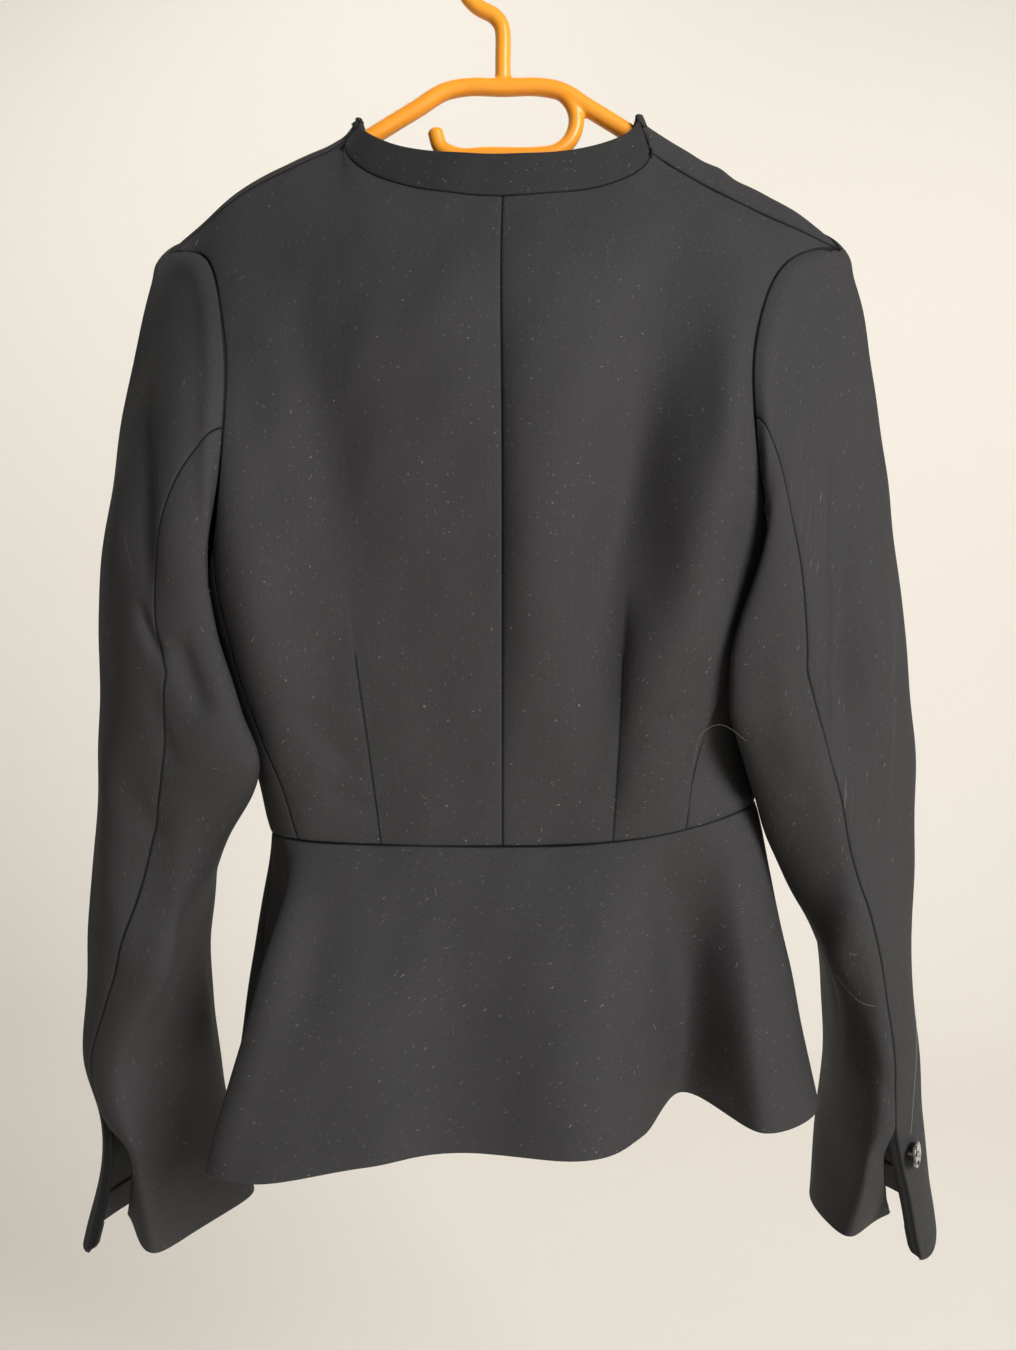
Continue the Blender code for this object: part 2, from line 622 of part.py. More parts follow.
def make_bodice(wool):
    rows = SEAM_ROWS + ARMHOLE_STEPS
    back_columns, front_columns = NECK_STEPS + SHOULDER_STEPS, BAND_STEPS + SHOULDER_STEPS
    last_rows = 1 - 1.5 / rows

    def back_edge(u, v):
        return neck_or_shoulder(side, u * back_columns - NECK_STEPS) if v > last_rows else None

    def front_edge(u, v):
        column = u * front_columns - BAND_STEPS
        return neck_or_shoulder(side, column) if v > last_rows and column > -0.5 else None

    def band_edge(u, v):
        ends = RIGHT if u > 0.5 else LEFT
        return neck_or_shoulder(ends, (abs(2 * u - 1) - 1) * NECK_STEPS) if v < 0.001 else None

    for side, name in SIDE_NAME.items():
        cloth_panel(
            f"back_{name}", back_columns, rows, lambda u, v: back_point(side, u, v), wool, side,
            shared=back_edge,
        )
        cloth_panel(
            f"front_{name}", front_columns, rows, lambda u, v: front_point(side, u, v), wool, -side,
            last_row_gap=SHOULDER_GAP, shared=front_edge,
        )
        cloth_panel(
            f"side_{name}", UNDERARM_STEPS, SEAM_ROWS, lambda u, v: side_point(side, u, v), wool, side,
        )
    cloth_panel(
        "neck_band", 2 * NECK_STEPS, 2, band_point, wool,
        first_row_gap=BAND_GAP, side_gap=BAND_END_GAP, shared=band_edge,
    )


def make_peplum(wool):
    left, right = PEPLUM_SIDE_SEAM[LEFT], PEPLUM_SIDE_SEAM[RIGHT]
    for name, first, last, columns in (
        ("peplum_back", left, right, 44),
        ("peplum_front_left", -2.0, left, 20),
        ("peplum_front_right", right, 2.0, 20),
    ):
        cloth_panel(name, columns, 6, lambda u, v: peplum_point(first, last, u, v), wool)


def make_sleeves(wool):
    for side, name in SIDE_NAME.items():
        for piece in ("upper", "under"):
            cloth_panel(
                f"{piece}_sleeve_{name}", sleeve_columns(piece), SLEEVE_ROWS,
                lambda u, v: sleeve_point(side, piece, u, v), wool, side,
                first_row_gap=ARMHOLE_GAP, side_gap=SLEEVE_GAP / 2,
            )


def make_buttons(horn):
    """A turned button on each cuff's upper piece, beside the vent."""
    for side, name in SIDE_NAME.items():
        top, bottom = sleeve_height(side, 0.0), sleeve_height(side, 1.0)
        down = (BUTTON_Z - top) / (bottom - top)
        v = (CAP_ROWS + down * (SLEEVE_ROWS - CAP_ROWS)) / SLEEVE_ROWS
        u = 1 - BUTTON_FROM_VENT[side] / (4 - SLEEVE_FRONT_SEAM + back_seam(side, BUTTON_Z))
        away = Vector(outward(lambda a, b: sleeve_point(side, "upper", a, b), u, v, side))
        centre = Vector(sleeve_point(side, "upper", u, v)) + away * (BUTTON_STANDOFF + BUTTON_THICKNESS / 2)
        bm = bmesh.new()
        bmesh.ops.create_cone(
            bm, cap_ends=True, segments=20, radius1=BUTTON_RADIUS, radius2=BUTTON_RADIUS,
            depth=BUTTON_THICKNESS,
        )
        mesh = bpy.data.meshes.new(f"cuff_button_{name}")
        bm.to_mesh(mesh)
        bm.free()
        button = linked(f"cuff_button_{name}", mesh, horn)
        button.matrix_world = Matrix.Translation(centre) @ away.to_track_quat("Z", "Y").to_matrix().to_4x4()
        edge = button.modifiers.new("Rounded edge", "BEVEL")
        edge.width = BUTTON_THICKNESS * 0.3
        edge.segments = 1


def arc(x, z, radius, first, last):
    """Points of x and z on a circle, between two angles in degrees."""
    angles = np.radians(np.linspace(first, last, 4 + int(abs(last - first) / 15)))
    return [(x + radius * math.cos(a), z + radius * math.sin(a)) for a in angles]


def tube(name, route, radius, material):
    """A round rod along a smooth route of x and z points, as a closed mesh."""
    route = np.array(route)
    lengths = np.concatenate([[0.0], np.cumsum(np.linalg.norm(np.diff(route, axis=0), axis=1))])
    count = max(8, int(lengths[-1] / (1.3 * radius)))
    points = [smooth(lengths, route, s) for s in np.linspace(0, lengths[-1], count)]
    curve = bpy.data.curves.new(name, "CURVE")
    curve.dimensions = "3D"
    curve.bevel_depth = radius
    curve.bevel_resolution = 2
    curve.use_fill_caps = True
    spline = curve.splines.new("POLY")
    spline.points.add(len(points) - 1)
    for spot, (x, z) in zip(spline.points, points):
        spot.co = (x, 0.0, z, 1.0)
    guide = bpy.data.objects.new(name, curve)
    PARTS.objects.link(guide)
    bpy.context.view_layer.update()
    mesh = bpy.data.meshes.new_from_object(guide.evaluated_get(bpy.context.evaluated_depsgraph_get()))
    bpy.data.objects.remove(guide)
    bm = bmesh.new()
    bm.from_mesh(mesh)
    bmesh.ops.remove_doubles(bm, verts=bm.verts, dist=0.00001)
    bm.to_mesh(mesh)
    bm.free()
    mesh.materials.clear()
    return linked(name, mesh, material)


def make_hanger(plastic):
    """One moulded hanger: arms, hook and inner loop joined."""
    bar_z = ARM_HALF[0][1]
    arms = [(-x, z) for x, z in reversed(ARM_HALF[1:])] + list(ARM_HALF)
    hook = [
        (0.0, bar_z), (0.0, (bar_z + NECK_BEND_Z) / 2),
        *arc(-NECK_BEND_RADIUS, NECK_BEND_Z, NECK_BEND_RADIUS, 0, HOOK_ARC[0] - 180),
        *arc(0.0, LIMB_RADIUS - HOOK_RADIUS, HOOK_RADIUS, *HOOK_ARC)[1:],
    ]
    loop = [*arc(LOOP_X, bar_z - LOOP_RADIUS, LOOP_RADIUS, 90, -90), *LOOP_END]
    hanger = tube("hanger", arms, TUBE_RADIUS, plastic)
    for name, route in (("hook", hook), ("loop", loop)):
        limb = tube(name, route, LIMB_RADIUS, plastic)
        PARTS.objects.unlink(limb)
        CUTTERS.objects.link(limb)
        limb.hide_render = True
        limb.display_type = "WIRE"
        join = hanger.modifiers.new(f"Join {name}", "BOOLEAN")
        join.operation = "UNION"
        join.object = limb
    hanger.data.shade_smooth()


for old in list(bpy.data.objects):
    bpy.data.objects.remove(old)
PARTS = bpy.data.collections.new("peplum_blazer")
CUTTERS = bpy.data.collections.new("joined_limbs")
for group in (PARTS, CUTTERS):
    bpy.context.scene.collection.children.link(group)
black_wool = finish("black_wool", (0.022, 0.022, 0.024), 0.85)
make_bodice(black_wool)
make_peplum(black_wool)
make_sleeves(black_wool)
make_buttons(finish("smoky_button", (0.30, 0.29, 0.28), 0.25))
make_hanger(finish("orange_plastic", (0.90, 0.37, 0.03), 0.4))
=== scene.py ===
"""The looks of a peplum blazer on a tubular plastic hanger: cloth shells, seams, creases, buttons, light.

Metres, in the part's own frame: +Z up, +X towards the wearer's right hand, +Y towards the wearer's front,
origin in the hanger's hook. The photograph looks along +Y, at the back.
"""
import math
import random

import bmesh
import bpy
import numpy as np
from mathutils import Matrix, Vector


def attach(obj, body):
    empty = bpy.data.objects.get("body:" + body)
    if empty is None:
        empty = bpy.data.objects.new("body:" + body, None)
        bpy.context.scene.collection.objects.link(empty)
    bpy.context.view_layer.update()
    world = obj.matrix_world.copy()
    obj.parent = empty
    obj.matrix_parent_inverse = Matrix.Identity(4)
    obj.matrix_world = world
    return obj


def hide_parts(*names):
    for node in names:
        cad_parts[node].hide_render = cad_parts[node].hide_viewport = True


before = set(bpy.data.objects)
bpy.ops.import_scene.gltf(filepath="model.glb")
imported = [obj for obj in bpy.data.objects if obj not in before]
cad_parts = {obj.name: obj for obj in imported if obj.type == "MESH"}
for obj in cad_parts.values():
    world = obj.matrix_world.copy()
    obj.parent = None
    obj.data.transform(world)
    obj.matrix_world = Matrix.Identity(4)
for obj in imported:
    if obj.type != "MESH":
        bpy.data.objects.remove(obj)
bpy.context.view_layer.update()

# Sides and seams
LEFT, RIGHT = -1, 1
SIDE_NAME = {LEFT: "left", RIGHT: "right"}
NEAR = 0.004

# Bodice: rings from the waist seam, level 0, to the neck and shoulder seams, level 1
BODICE_SQUARENESS = 2.5
# The back is flatter than the rings, which take over towards the sides
BACK_FLATNESS = 5.0
FLAT_FADE = 4
# Columns: level, x_left, x_right, y_back, y_front
BODICE = (
    (0.00, -0.137, 0.149, -0.058, 0.066),
    (0.10, -0.145, 0.149, -0.061, 0.071),
    (0.22, -0.158, 0.156, -0.067, 0.077),
    (0.36, -0.171, 0.168, -0.074, 0.083),
    (0.52, -0.180, 0.178, -0.080, 0.083),
    (0.70, -0.189, 0.189, -0.082, 0.075),
    (0.86, -0.195, 0.196, -0.071, 0.060),
    (1.00, -0.199, 0.200, -0.045, 0.045),
)
WAIST_Z = {"back": -0.537, "front": -0.535, LEFT: -0.533, RIGHT: -0.515}
TOP_Z = {"back": -0.171, "front": -0.185, LEFT: -0.190, RIGHT: -0.189}

# Shoulders: the ridge over each arm of the hanger, by distance from the middle
# Columns: reach, z
RIDGE = {
    LEFT: (
        (0.0858, -0.1110), (0.0980, -0.1215), (0.1220, -0.1335), (0.1460, -0.1450),
        (0.1670, -0.1590), (0.1820, -0.1735), (0.1985, -0.1895),
    ),
    RIGHT: (
        (0.0805, -0.1095), (0.0912, -0.1168), (0.1120, -0.1290), (0.1390, -0.1430),
        (0.1600, -0.1545), (0.1780, -0.1660), (0.2000, -0.1850),
    ),
}
# Shoulder seams behind the ridge, at the neck and at the sleeve: reach, y and drop below the ridge
SHOULDER_NECK = {LEFT: (0.0950, -0.0065, 0.0055), RIGHT: (0.0870, -0.0125, 0.0195)}
SHOULDER_TIP = {LEFT: (0.1985, -0.0060, 0.0030), RIGHT: (0.2000, -0.0075, 0.0040)}
# Where the cloth comes down in front of the ridge
RIDGE_Y = 0.0015
FRONT_FALL_NECK = (0.0140, 0.0130)
FRONT_FALL_TIP = (0.0110, 0.0100)
# How late along the shoulder its drop and its front fall change, as powers
DROP_CURVE = 4
FALL_CURVE = 3
NECK_SHARE = 0.25
BAND_SHARE = 0.12
SHOULDER_REACH = 0.45
SOFTEN = 0.9
SOFTEN_MOST = 0.2
SOFTEN_SPREAD = ((-1.0, 0.125), (-0.5, 0.25), (0.0, 0.25), (0.5, 0.25), (1.0, 0.125))
WRAP_LEVEL = 0.90
STRETCH_LEVEL = 0.5
# How late the columns of back and front take up the steps of their top edge, as a power of the level
TOP_PULL = 6

# Back neck band
BAND_TOP_BACK = (0.0, -0.040, -0.1466)
BAND_TOP_SIDE = {LEFT: (-0.0858, -0.006, -0.1125), RIGHT: (0.0805, -0.007, -0.1115)}
BAND_OVER_RIDGE = (-0.0005, 0.007, 0.0012)
BAND_OVER_FRONT = (-0.0015, 0.017, -0.0035)

# Armholes, as an oval on the bodice: its lowest level, and its half-widths as shares of a ring's quarter
ARMHOLE_BOTTOM = 0.355
ARMHOLE_MIDDLE = (1 + ARMHOLE_BOTTOM) / 2
ARMHOLE_HALF = (1 - ARMHOLE_BOTTOM) / 2
ARMHOLE_BACK = {LEFT: 0.42, RIGHT: 0.52}
ARMHOLE_FRONT = 0.40
ARMHOLE_TIP_BACK = 1.6
ARMHOLE_TIP_FRONT = 3.0
SEAM_TURN = 1.45
# Grid steps that neighbours share: up a side seam, on round the armhole, under the arm, along the shoulder
SEAM_ROWS = 10
ARMHOLE_STEPS = 12
UNDERARM_STEPS = 8
SHOULDER_STEPS = 6
NECK_STEPS = 6
BAND_STEPS = 3
BAND_ROWS = 4

# Seams between back and side panels, and between side panels and fronts, in shares of a ring's quarter
# Columns: level, back_left, back_right, front
SIDE_SEAM = (
    (0.00, 0.594, 0.430, 1.40),
    (0.10, 0.630, 0.460, 1.37),
    (0.23, 0.680, 0.530, 1.33),
    (0.36, 0.690, 0.620, 1.31),
)
FRONT_BREAK = 0.46
OPENING_CURVE = 0.9
FRONT_GAP = 0.0015
FRONT_GAP_TURNS = 0.1

# The right side panel tucks in behind the back's edge
TUCK_DEPTH = 0.034
TUCK_LEVELS = (0.02, 0.39)

# Largest soft folds of the back, which fade to the sides: ends as x and z, width, depth inwards
# Columns: x_top, z_top, x_bottom, z_bottom, width, depth
BACK_FOLDS = (
    (0.093, -0.165, 0.040, -0.530, 0.026, 0.016),
    (0.148, -0.165, 0.077, -0.545, 0.028, -0.017),
    (-0.124, -0.170, -0.072, -0.450, 0.019, 0.007),
    (-0.186, -0.195, -0.098, -0.620, 0.028, -0.017),
)
FOLD_FADE = 8

# Peplum: the hem's crests and hollows, by the place on the waist that each hangs from
# Columns: turn, x, y, z
HEM = (
    (-2.00, -0.008, 0.098, -0.690),
    (-1.75, -0.060, 0.080, -0.690),
    (-1.50, -0.112, 0.110, -0.694),
    (-1.25, -0.132, 0.070, -0.692),
    (-1.02, -0.167, 0.026, -0.697),
    (-0.72, -0.112, -0.022, -0.692),
    (-0.52, -0.154, -0.090, -0.703),
    (-0.40, -0.133, -0.104, -0.704),
    (-0.16, -0.070, -0.103, -0.696),
    (0.00, -0.018, -0.094, -0.692),
    (0.10, 0.036, -0.103, -0.693),
    (0.26, 0.076, -0.076, -0.690),
    (0.42, 0.104, -0.012, -0.688),
    (0.64, 0.146, -0.052, -0.697),
    (0.82, 0.180, -0.032, -0.693),
    (1.00, 0.185, 0.014, -0.686),
    (1.25, 0.146, 0.062, -0.688),
    (1.50, 0.116, 0.108, -0.692),
    (1.75, 0.062, 0.080, -0.690),
    (2.00, 0.008, 0.098, -0.690),
)
PEPLUM_SIDE_SEAM = {LEFT: -0.90, RIGHT: 0.96}
PEPLUM_EASE = 1.12
PEPLUM_COLUMNS = {"peplum_back": 132, "peplum_front": 60}
PEPLUM_ROWS = 12

# Sleeves: rings at heights z through five named places; seam is where the back seam runs, in ring turns.
# The cap rows give the way the cloth leaves the armhole, and how far it holds that way
SLEEVE_TURNS = (0.0, 1.0, 1.5, 2.0, 3.0)
# Columns: z, then x and y of outer, back, lap, inner and front, then seam
SLEEVE = {
    LEFT: (
        (-0.440, -0.241, 0.000, -0.189, -0.073, -0.149, -0.070, -0.180, 0.002, -0.205, 0.062, 1.08),
        (-0.462, -0.241, 0.000, -0.182, -0.073, -0.142, -0.069, -0.176, 0.001, -0.204, 0.064, 0.96),
        (-0.488, -0.242, 0.000, -0.174, -0.070, -0.134, -0.065, -0.169, 0.000, -0.203, 0.066, 0.85),
        (-0.550, -0.245, 0.000, -0.180, -0.050, -0.166, -0.030, -0.173, 0.010, -0.204, 0.070, 0.70),
        (-0.610, -0.248, 0.000, -0.195, -0.040, -0.190, -0.015, -0.184, 0.030, -0.210, 0.076, 0.59),
        (-0.670, -0.250, 0.002, -0.217, -0.032, -0.201, -0.004, -0.184, 0.042, -0.213, 0.082, 0.46),
        (-0.720, -0.239, 0.006, -0.208, -0.033, -0.193, 0.002, -0.177, 0.050, -0.210, 0.085, 0.38),
        (-0.775, -0.245, 0.010, -0.200, -0.031, -0.182, 0.005, -0.161, 0.052, -0.206, 0.088, 0.35),
    ),
    RIGHT: (
        (-0.440, 0.2430, 0.000, 0.166, -0.077, 0.123, -0.073, 0.179, 0.002, 0.206, 0.060, 1.02),
        (-0.465, 0.2450, 0.000, 0.167, -0.073, 0.124, -0.068, 0.174, 0.001, 0.206, 0.063, 0.94),
        (-0.490, 0.2465, 0.000, 0.172, -0.066, 0.134, -0.056, 0.168, 0.000, 0.207, 0.066, 0.88),
        (-0.550, 0.247, 0.000, 0.188, -0.052, 0.159, -0.032, 0.174, 0.012, 0.208, 0.072, 0.86),
        (-0.610, 0.2445, 0.000, 0.207, -0.042, 0.192, -0.016, 0.197, 0.028, 0.212, 0.078, 0.80),
        (-0.670, 0.249, 0.002, 0.214, -0.038, 0.204, -0.006, 0.204, 0.036, 0.218, 0.082, 0.73),
        (-0.720, 0.254, 0.006, 0.210, -0.036, 0.201, -0.002, 0.199, 0.036, 0.221, 0.085, 0.65),
        (-0.770, 0.260, 0.012, 0.204, -0.032, 0.194, 0.002, 0.192, 0.036, 0.224, 0.086, 0.62),
    ),
}
# Columns: turn, out, front, up, reach
CAP = (
    (0.0, 1.00, 0.00, 0.30, 0.013),
    (1.0, 0.85, -0.35, 0.00, 0.012),
    (1.5, 0.12, -1.00, 0.00, 0.015),
    (2.0, 1.00, -0.10, -0.30, 0.007),
    (3.0, 0.80, 0.45, 0.00, 0.016),
)
CAP_FALL = 0.45
CAP_SLOPE_STEP = 0.01
CAP_EASE = 1.4
CAP_ROWS = 8
SLEEVE_ROWS = 21
SLEEVE_FRONT_SEAM = 4 - SEAM_TURN
BACK_SEAM_STEPS = 9

# Cuff vents along the back seams
VENT_TOP_Z = -0.700
VENT_SPREAD = 0.38
VENT_FLAP = {LEFT: (-0.011, 0.000, -0.007), RIGHT: (0.020, 0.010, -0.015)}
VENT_TUCK = {LEFT: (0.002, 0.036, 0.000), RIGHT: (0.010, 0.040, 0.000)}
VENT_STEP = {LEFT: (0.011, 0.0085, 0.000), RIGHT: (-0.005, 0.004, 0.000)}
VENT_STEP_SHARE = 0.3
VENT_FLAP_CURVE = 1.2
VENT_TUCK_CURVE = 3

# Cuff buttons
BUTTON_THICKNESS = 0.0026
BUTTON_STANDOFF = 0.0024
BUTTON_Z = -0.716
BUTTON_FROM_VENT = {LEFT: 0.55, RIGHT: 0.12}

# Hanger, in the plane y = 0: routes as x and z
TUBE_RADIUS = 0.0054
LIMB_RADIUS = 0.0048
HOOK_RADIUS = 0.0255
HOOK_ARC = (249, -8)
NECK_BEND_RADIUS = 0.014
NECK_BEND_Z = -0.0576
ARM_HALF = (
    (0.000, -0.0895), (0.024, -0.0895), (0.033, -0.0913), (0.052, -0.1025),
    (0.078, -0.1185), (0.104, -0.1350), (0.140, -0.1570), (0.162, -0.1710),
)
LOOP_RADIUS = 0.0200
LOOP_X = 0.024
LOOP_END = ((-0.0100, -0.1298), (-0.0290, -0.1298), (-0.0375, -0.1255), (-0.0405, -0.1165))


def smooth(knots, values, place):
    """The value at a place on the smooth curve through values at uneven knots."""
    knots, values = np.asarray(knots, float), np.asarray(values, float)
    slopes = np.gradient(values, knots, axis=0)
    first = int(np.clip(np.searchsorted(knots, place) - 1, 0, len(knots) - 2))
    step = knots[first + 1] - knots[first]
    s = (place - knots[first]) / step
    return (
        values[first] * (1 + 2 * s) * (1 - s) ** 2
        + slopes[first] * step * s * (1 - s) ** 2
        + values[first + 1] * s * s * (3 - 2 * s)
        + slopes[first + 1] * step * s * s * (s - 1)
    )


def smooth_ring(turns, values, turn):
    """The same on a closed ring of four turns."""
    turns, values = np.asarray(turns), np.asarray(values)
    knots = np.concatenate([turns[-2:] - 4, turns, turns[:2] + 4])
    return smooth(knots, np.concatenate([values[-2:], values, values[:2]]), turn % 4)


def row_at(table, place):
    """A table's columns after the first, at a place along its first column."""
    table = np.asarray(table, float)
    return smooth(table[:, 0], table[:, 1:], place)


def between(a, b, share):
    return np.asarray(a, float) * (1 - share) + np.asarray(b, float) * share


def ramp(x):
    """A soft step from 0 at 0 to 1 at 1."""
    x = np.clip(x, 0.0, 1.0)
    return x * x * (3 - 2 * x)


def curve(start, first, last, end, share):
    """A point on the curve from start to end that leaves towards first and arrives from last."""
    a, b = 1 - share, share
    return a**3 * start + 3 * a * a * b * first + 3 * a * b * b * last + b**3 * end


def quarter(back, end, share):
    """A point on the quarter of an oval from the centre back to an end at the side."""
    angle = share * math.pi / 2
    rise = 1 - math.cos(angle)
    return np.array([end[0] * math.sin(angle), *(back[1:] + (end[1:] - back[1:]) * rise)])


def unit(vectors):
    return vectors / np.maximum(np.linalg.norm(vectors, axis=-1, keepdims=True), 1e-12)


def bodice_ring(side, turn, level):
    """A plain ring point: turn 0 is the centre back, 1 the side and 2 the centre front."""
    x_left, x_right, y_back, y_front = row_at(BODICE, level)
    reach = x_right if side == RIGHT else -x_left
    depth, end = (y_back, "back") if turn <= 1 else (y_front, "front")
    across = math.sin(min(max(turn, 0.0), 2.0) * math.pi / 2)
    along = math.sqrt(max(0.0, 1 - across * across))
    power = 2 / BODICE_SQUARENESS
    flat = between(2 / BACK_FLATNESS, power, min(max(turn, 0.0), 1.0) ** FLAT_FADE)
    heights = {key: between(WAIST_Z[key], TOP_Z[key], level) for key in (end, side)}
    z = heights[end] * along**2 + heights[side] * across**2
    return np.array([side * reach * across**power, depth * along**flat, z])


def shoulder(side, share):
    """The shoulder's seam, ridge and front fall, at a share of the way from the neck to the sleeve."""
    reach, y = between(SHOULDER_NECK[side], SHOULDER_TIP[side], share)[:2]
    drop = between(SHOULDER_NECK[side][2], SHOULDER_TIP[side][2], share**DROP_CURVE)
    fall_y, fall = between(FRONT_FALL_NECK, FRONT_FALL_TIP, share**FALL_CURVE)
    z = float(row_at(RIDGE[side], reach)[0])
    x = side * reach
    return np.array([[x, y, z - drop], [x, RIDGE_Y, z], [x, fall_y, z - fall]])


def neck_seam(side, share):
    """The back neck seam, from the centre back to the shoulder seam."""
    return quarter(bodice_ring(side, 0.0, 1.0), shoulder(side, 0.0)[0], share)


def back_top(side, turn):
    """Where the back ends at level 1: its neck seam, then its shoulder seam."""
    if turn < NECK_SHARE:
        return neck_seam(side, turn / NECK_SHARE)
    return shoulder(side, (turn - NECK_SHARE) / (1 - NECK_SHARE))[0]


def front_top(side, from_front):
    """The front's seam, ridge and fall at the shoulder, and along the end of its neck band."""
    if from_front >= NECK_SHARE:
        return shoulder(side, (from_front - NECK_SHARE) / (1 - NECK_SHARE))
    corner = np.array(BAND_TOP_SIDE[side])
    mirror = np.array([side, 1, 1])
    band = np.array([corner, corner + BAND_OVER_RIDGE * mirror, corner + BAND_OVER_FRONT * mirror])
    to_shoulder = max(0.0, (from_front - BAND_SHARE) / (NECK_SHARE - BAND_SHARE))
    return between(band, shoulder(side, 0.0), to_shoulder)


def fold_depth(point):
    """How far the back's soft folds push a point inwards."""
    total = 0.0
    for x_top, z_top, x_bottom, z_bottom, width, depth in BACK_FOLDS:
        along = (point[2] - z_top) / (z_bottom - z_top)
        off = point[0] - (x_top + (x_bottom - x_top) * along)
        total += depth * ramp(2 * along) * ramp(2 - 2 * along) * math.exp(-((off / width) ** 2))
    return total


def tuck_depth(turn, level):
    """How far the right side panel is pushed in behind the seam with the back."""
    start = side_seam("back", RIGHT, level)
    if not start < turn < 1 + start:
        return 0.0
    low, high = TUCK_LEVELS
    up = min(max((level - low) / (high - low), 0.0), 1.0)
    off = turn - start
    return TUCK_DEPTH * math.sin(math.pi * up) * math.sin(math.pi * off) ** (1 if off < 0.5 else 2)


def near_top(level):
    return max(0.0, (level - SHOULDER_REACH) / (1 - SHOULDER_REACH)) ** 2


def bodice_back(side, turn, level):
    """The back follows the rings, and its top edge more and more towards the top."""
    point = bodice_ring(side, turn, level)
    spread = min(SOFTEN * (1 - level), SOFTEN_MOST)
    for shift, weight in SOFTEN_SPREAD:
        near = min(turn + shift * spread, 1.0)
        near_side = side if near >= 0 else -side
        lift = back_top(near_side, abs(near)) - bodice_ring(near_side, abs(near), 1.0)
        point = point + weight * near_top(level) * lift
    point[1] += fold_depth(point) * (1 - min(turn, 1.0) ** FOLD_FADE)
    return point


def bodice_front(side, turn, level):
    """The front rises to its fall line, then wraps over the ridge to the shoulder seam."""
    from_front = max(2 - turn, BAND_SHARE)
    seam, ridge, fall = front_top(side, from_front)
    if level > WRAP_LEVEL:
        over = (level - WRAP_LEVEL) / (1 - WRAP_LEVEL)
        # The middle of a cubic lies 1/8 at each end point and 3/4 at its handles, and has to meet the ridge
        height = (ridge[2] - (fall[2] + seam[2]) / 8) / 0.75
        rise, descent = np.array([*fall[:2], height]), np.array([*seam[:2], height])
        return curve(fall, rise, descent, seam, over)
    if level > STRETCH_LEVEL:
        level = STRETCH_LEVEL + (level - STRETCH_LEVEL) * (1 - STRETCH_LEVEL) / (WRAP_LEVEL - STRETCH_LEVEL)
    lift = near_top(level)
    return bodice_ring(side, turn, level) + lift * (fall - bodice_ring(side, 2 - from_front, 1.0))


def bodice(side, turn, level):
    """A point of the bodice's outer surface. Turns below 0 lie on the other side of the centre back."""
    if turn < 0:
        return bodice(-side, -turn, level)
    point = bodice_back(side, turn, level) if turn < 1 else bodice_front(side, turn, level)
    if side == RIGHT:
        point[1] += tuck_depth(turn, level)
    return point


def armhole_turn(side, across, up):
    """The armhole's turn on the bodice, from its shares up and across, which is negative in front."""
    if across > 0:
        return 1 - ARMHOLE_BACK[side] * across ** (ARMHOLE_TIP_BACK if up > 0 else 1)
    return 1 + ARMHOLE_FRONT * (-across) ** (ARMHOLE_TIP_FRONT if up > 0 else 1)


def armhole_place(side, loop):
    """Turn and level on the bodice of a place on the armhole: 0 shoulder, 1 back, 2 underarm, 3 front."""
    across, up = math.sin(loop * math.pi / 2), math.cos(loop * math.pi / 2)
    return armhole_turn(side, across, up), ARMHOLE_MIDDLE + ARMHOLE_HALF * up


def armhole(side, loop):
    return bodice(side, *armhole_place(side, loop))


def side_seam(which, side, level):
    """The turn of a side panel's back or front seam, which ends on the armhole."""
    turn, top = armhole_place(side, SEAM_TURN if which == "back" else 4 - SEAM_TURN)
    table = np.array(SIDE_SEAM)
    column = 3 if which == "front" else (1 if side == LEFT else 2)
    knots, turns = np.append(table[:, 0], top), np.append(table[:, column], turn)
    return float(smooth(knots, turns, min(level, top)))


def outer_turn(which, side, level):
    """Where a back or front panel ends: the side panel's seam, then the armhole."""
    top = armhole_place(side, SEAM_TURN)[1]
    if level < top:
        return side_seam(which, side, level)
    up = (level - ARMHOLE_MIDDLE) / ARMHOLE_HALF
    across = math.sqrt(max(0.0, 1 - up**2))
    return armhole_turn(side, across if which == "back" else -across, up)


def row_level(v):
    """The level of a back or front row, shared with the side panel's rows and then the armhole's steps."""
    row = v * (SEAM_ROWS + ARMHOLE_STEPS)
    loop = SEAM_TURN * (1 - max(0.0, row - SEAM_ROWS) / ARMHOLE_STEPS)
    return armhole_place(LEFT, loop)[1] * min(1.0, row / SEAM_ROWS)


def top_share(u, start, steps):
    """A column's share of the top edge: some steps from a start to the neck corner, then the shoulder's."""
    column = u * (steps + SHOULDER_STEPS)
    if column < steps:
        return start + (NECK_SHARE - start) * column / steps
    return NECK_SHARE + (1 - NECK_SHARE) * (column - steps) / SHOULDER_STEPS


def back_point(side, u, v):
    level = row_level(v)
    share = between(u, top_share(u, 0.0, NECK_STEPS), level**TOP_PULL)
    return bodice(side, share * outer_turn("back", side, level), level)


def front_point(side, u, v):
    level = row_level(v)
    opening = BAND_SHARE * max(0.0, (level - FRONT_BREAK) / (1 - FRONT_BREAK)) ** OPENING_CURVE
    top = top_share(u, BAND_SHARE, BAND_STEPS)
    share = between(u, (top - BAND_SHARE) / (1 - BAND_SHARE), level**TOP_PULL)
    point = bodice(side, 2 - opening - (2 - outer_turn("front", side, level) - opening) * share, level)
    if u <= 0 and level <= FRONT_BREAK:
        point[0] += side * FRONT_GAP
    return point


def side_point(side, u, v):
    loop = SEAM_TURN + (4 - 2 * SEAM_TURN) * u
    top_turn, top_level = armhole_place(side, loop)
    level = v * top_level
    back, front = side_seam("back", side, level), side_seam("front", side, level)
    back_top, front_top = (side_seam(which, side, 1.0) for which in ("back", "front"))
    turn = back + (front - back) * u + v * v * (top_turn - back_top - (front_top - back_top) * u)
    return bodice(side, turn, level)


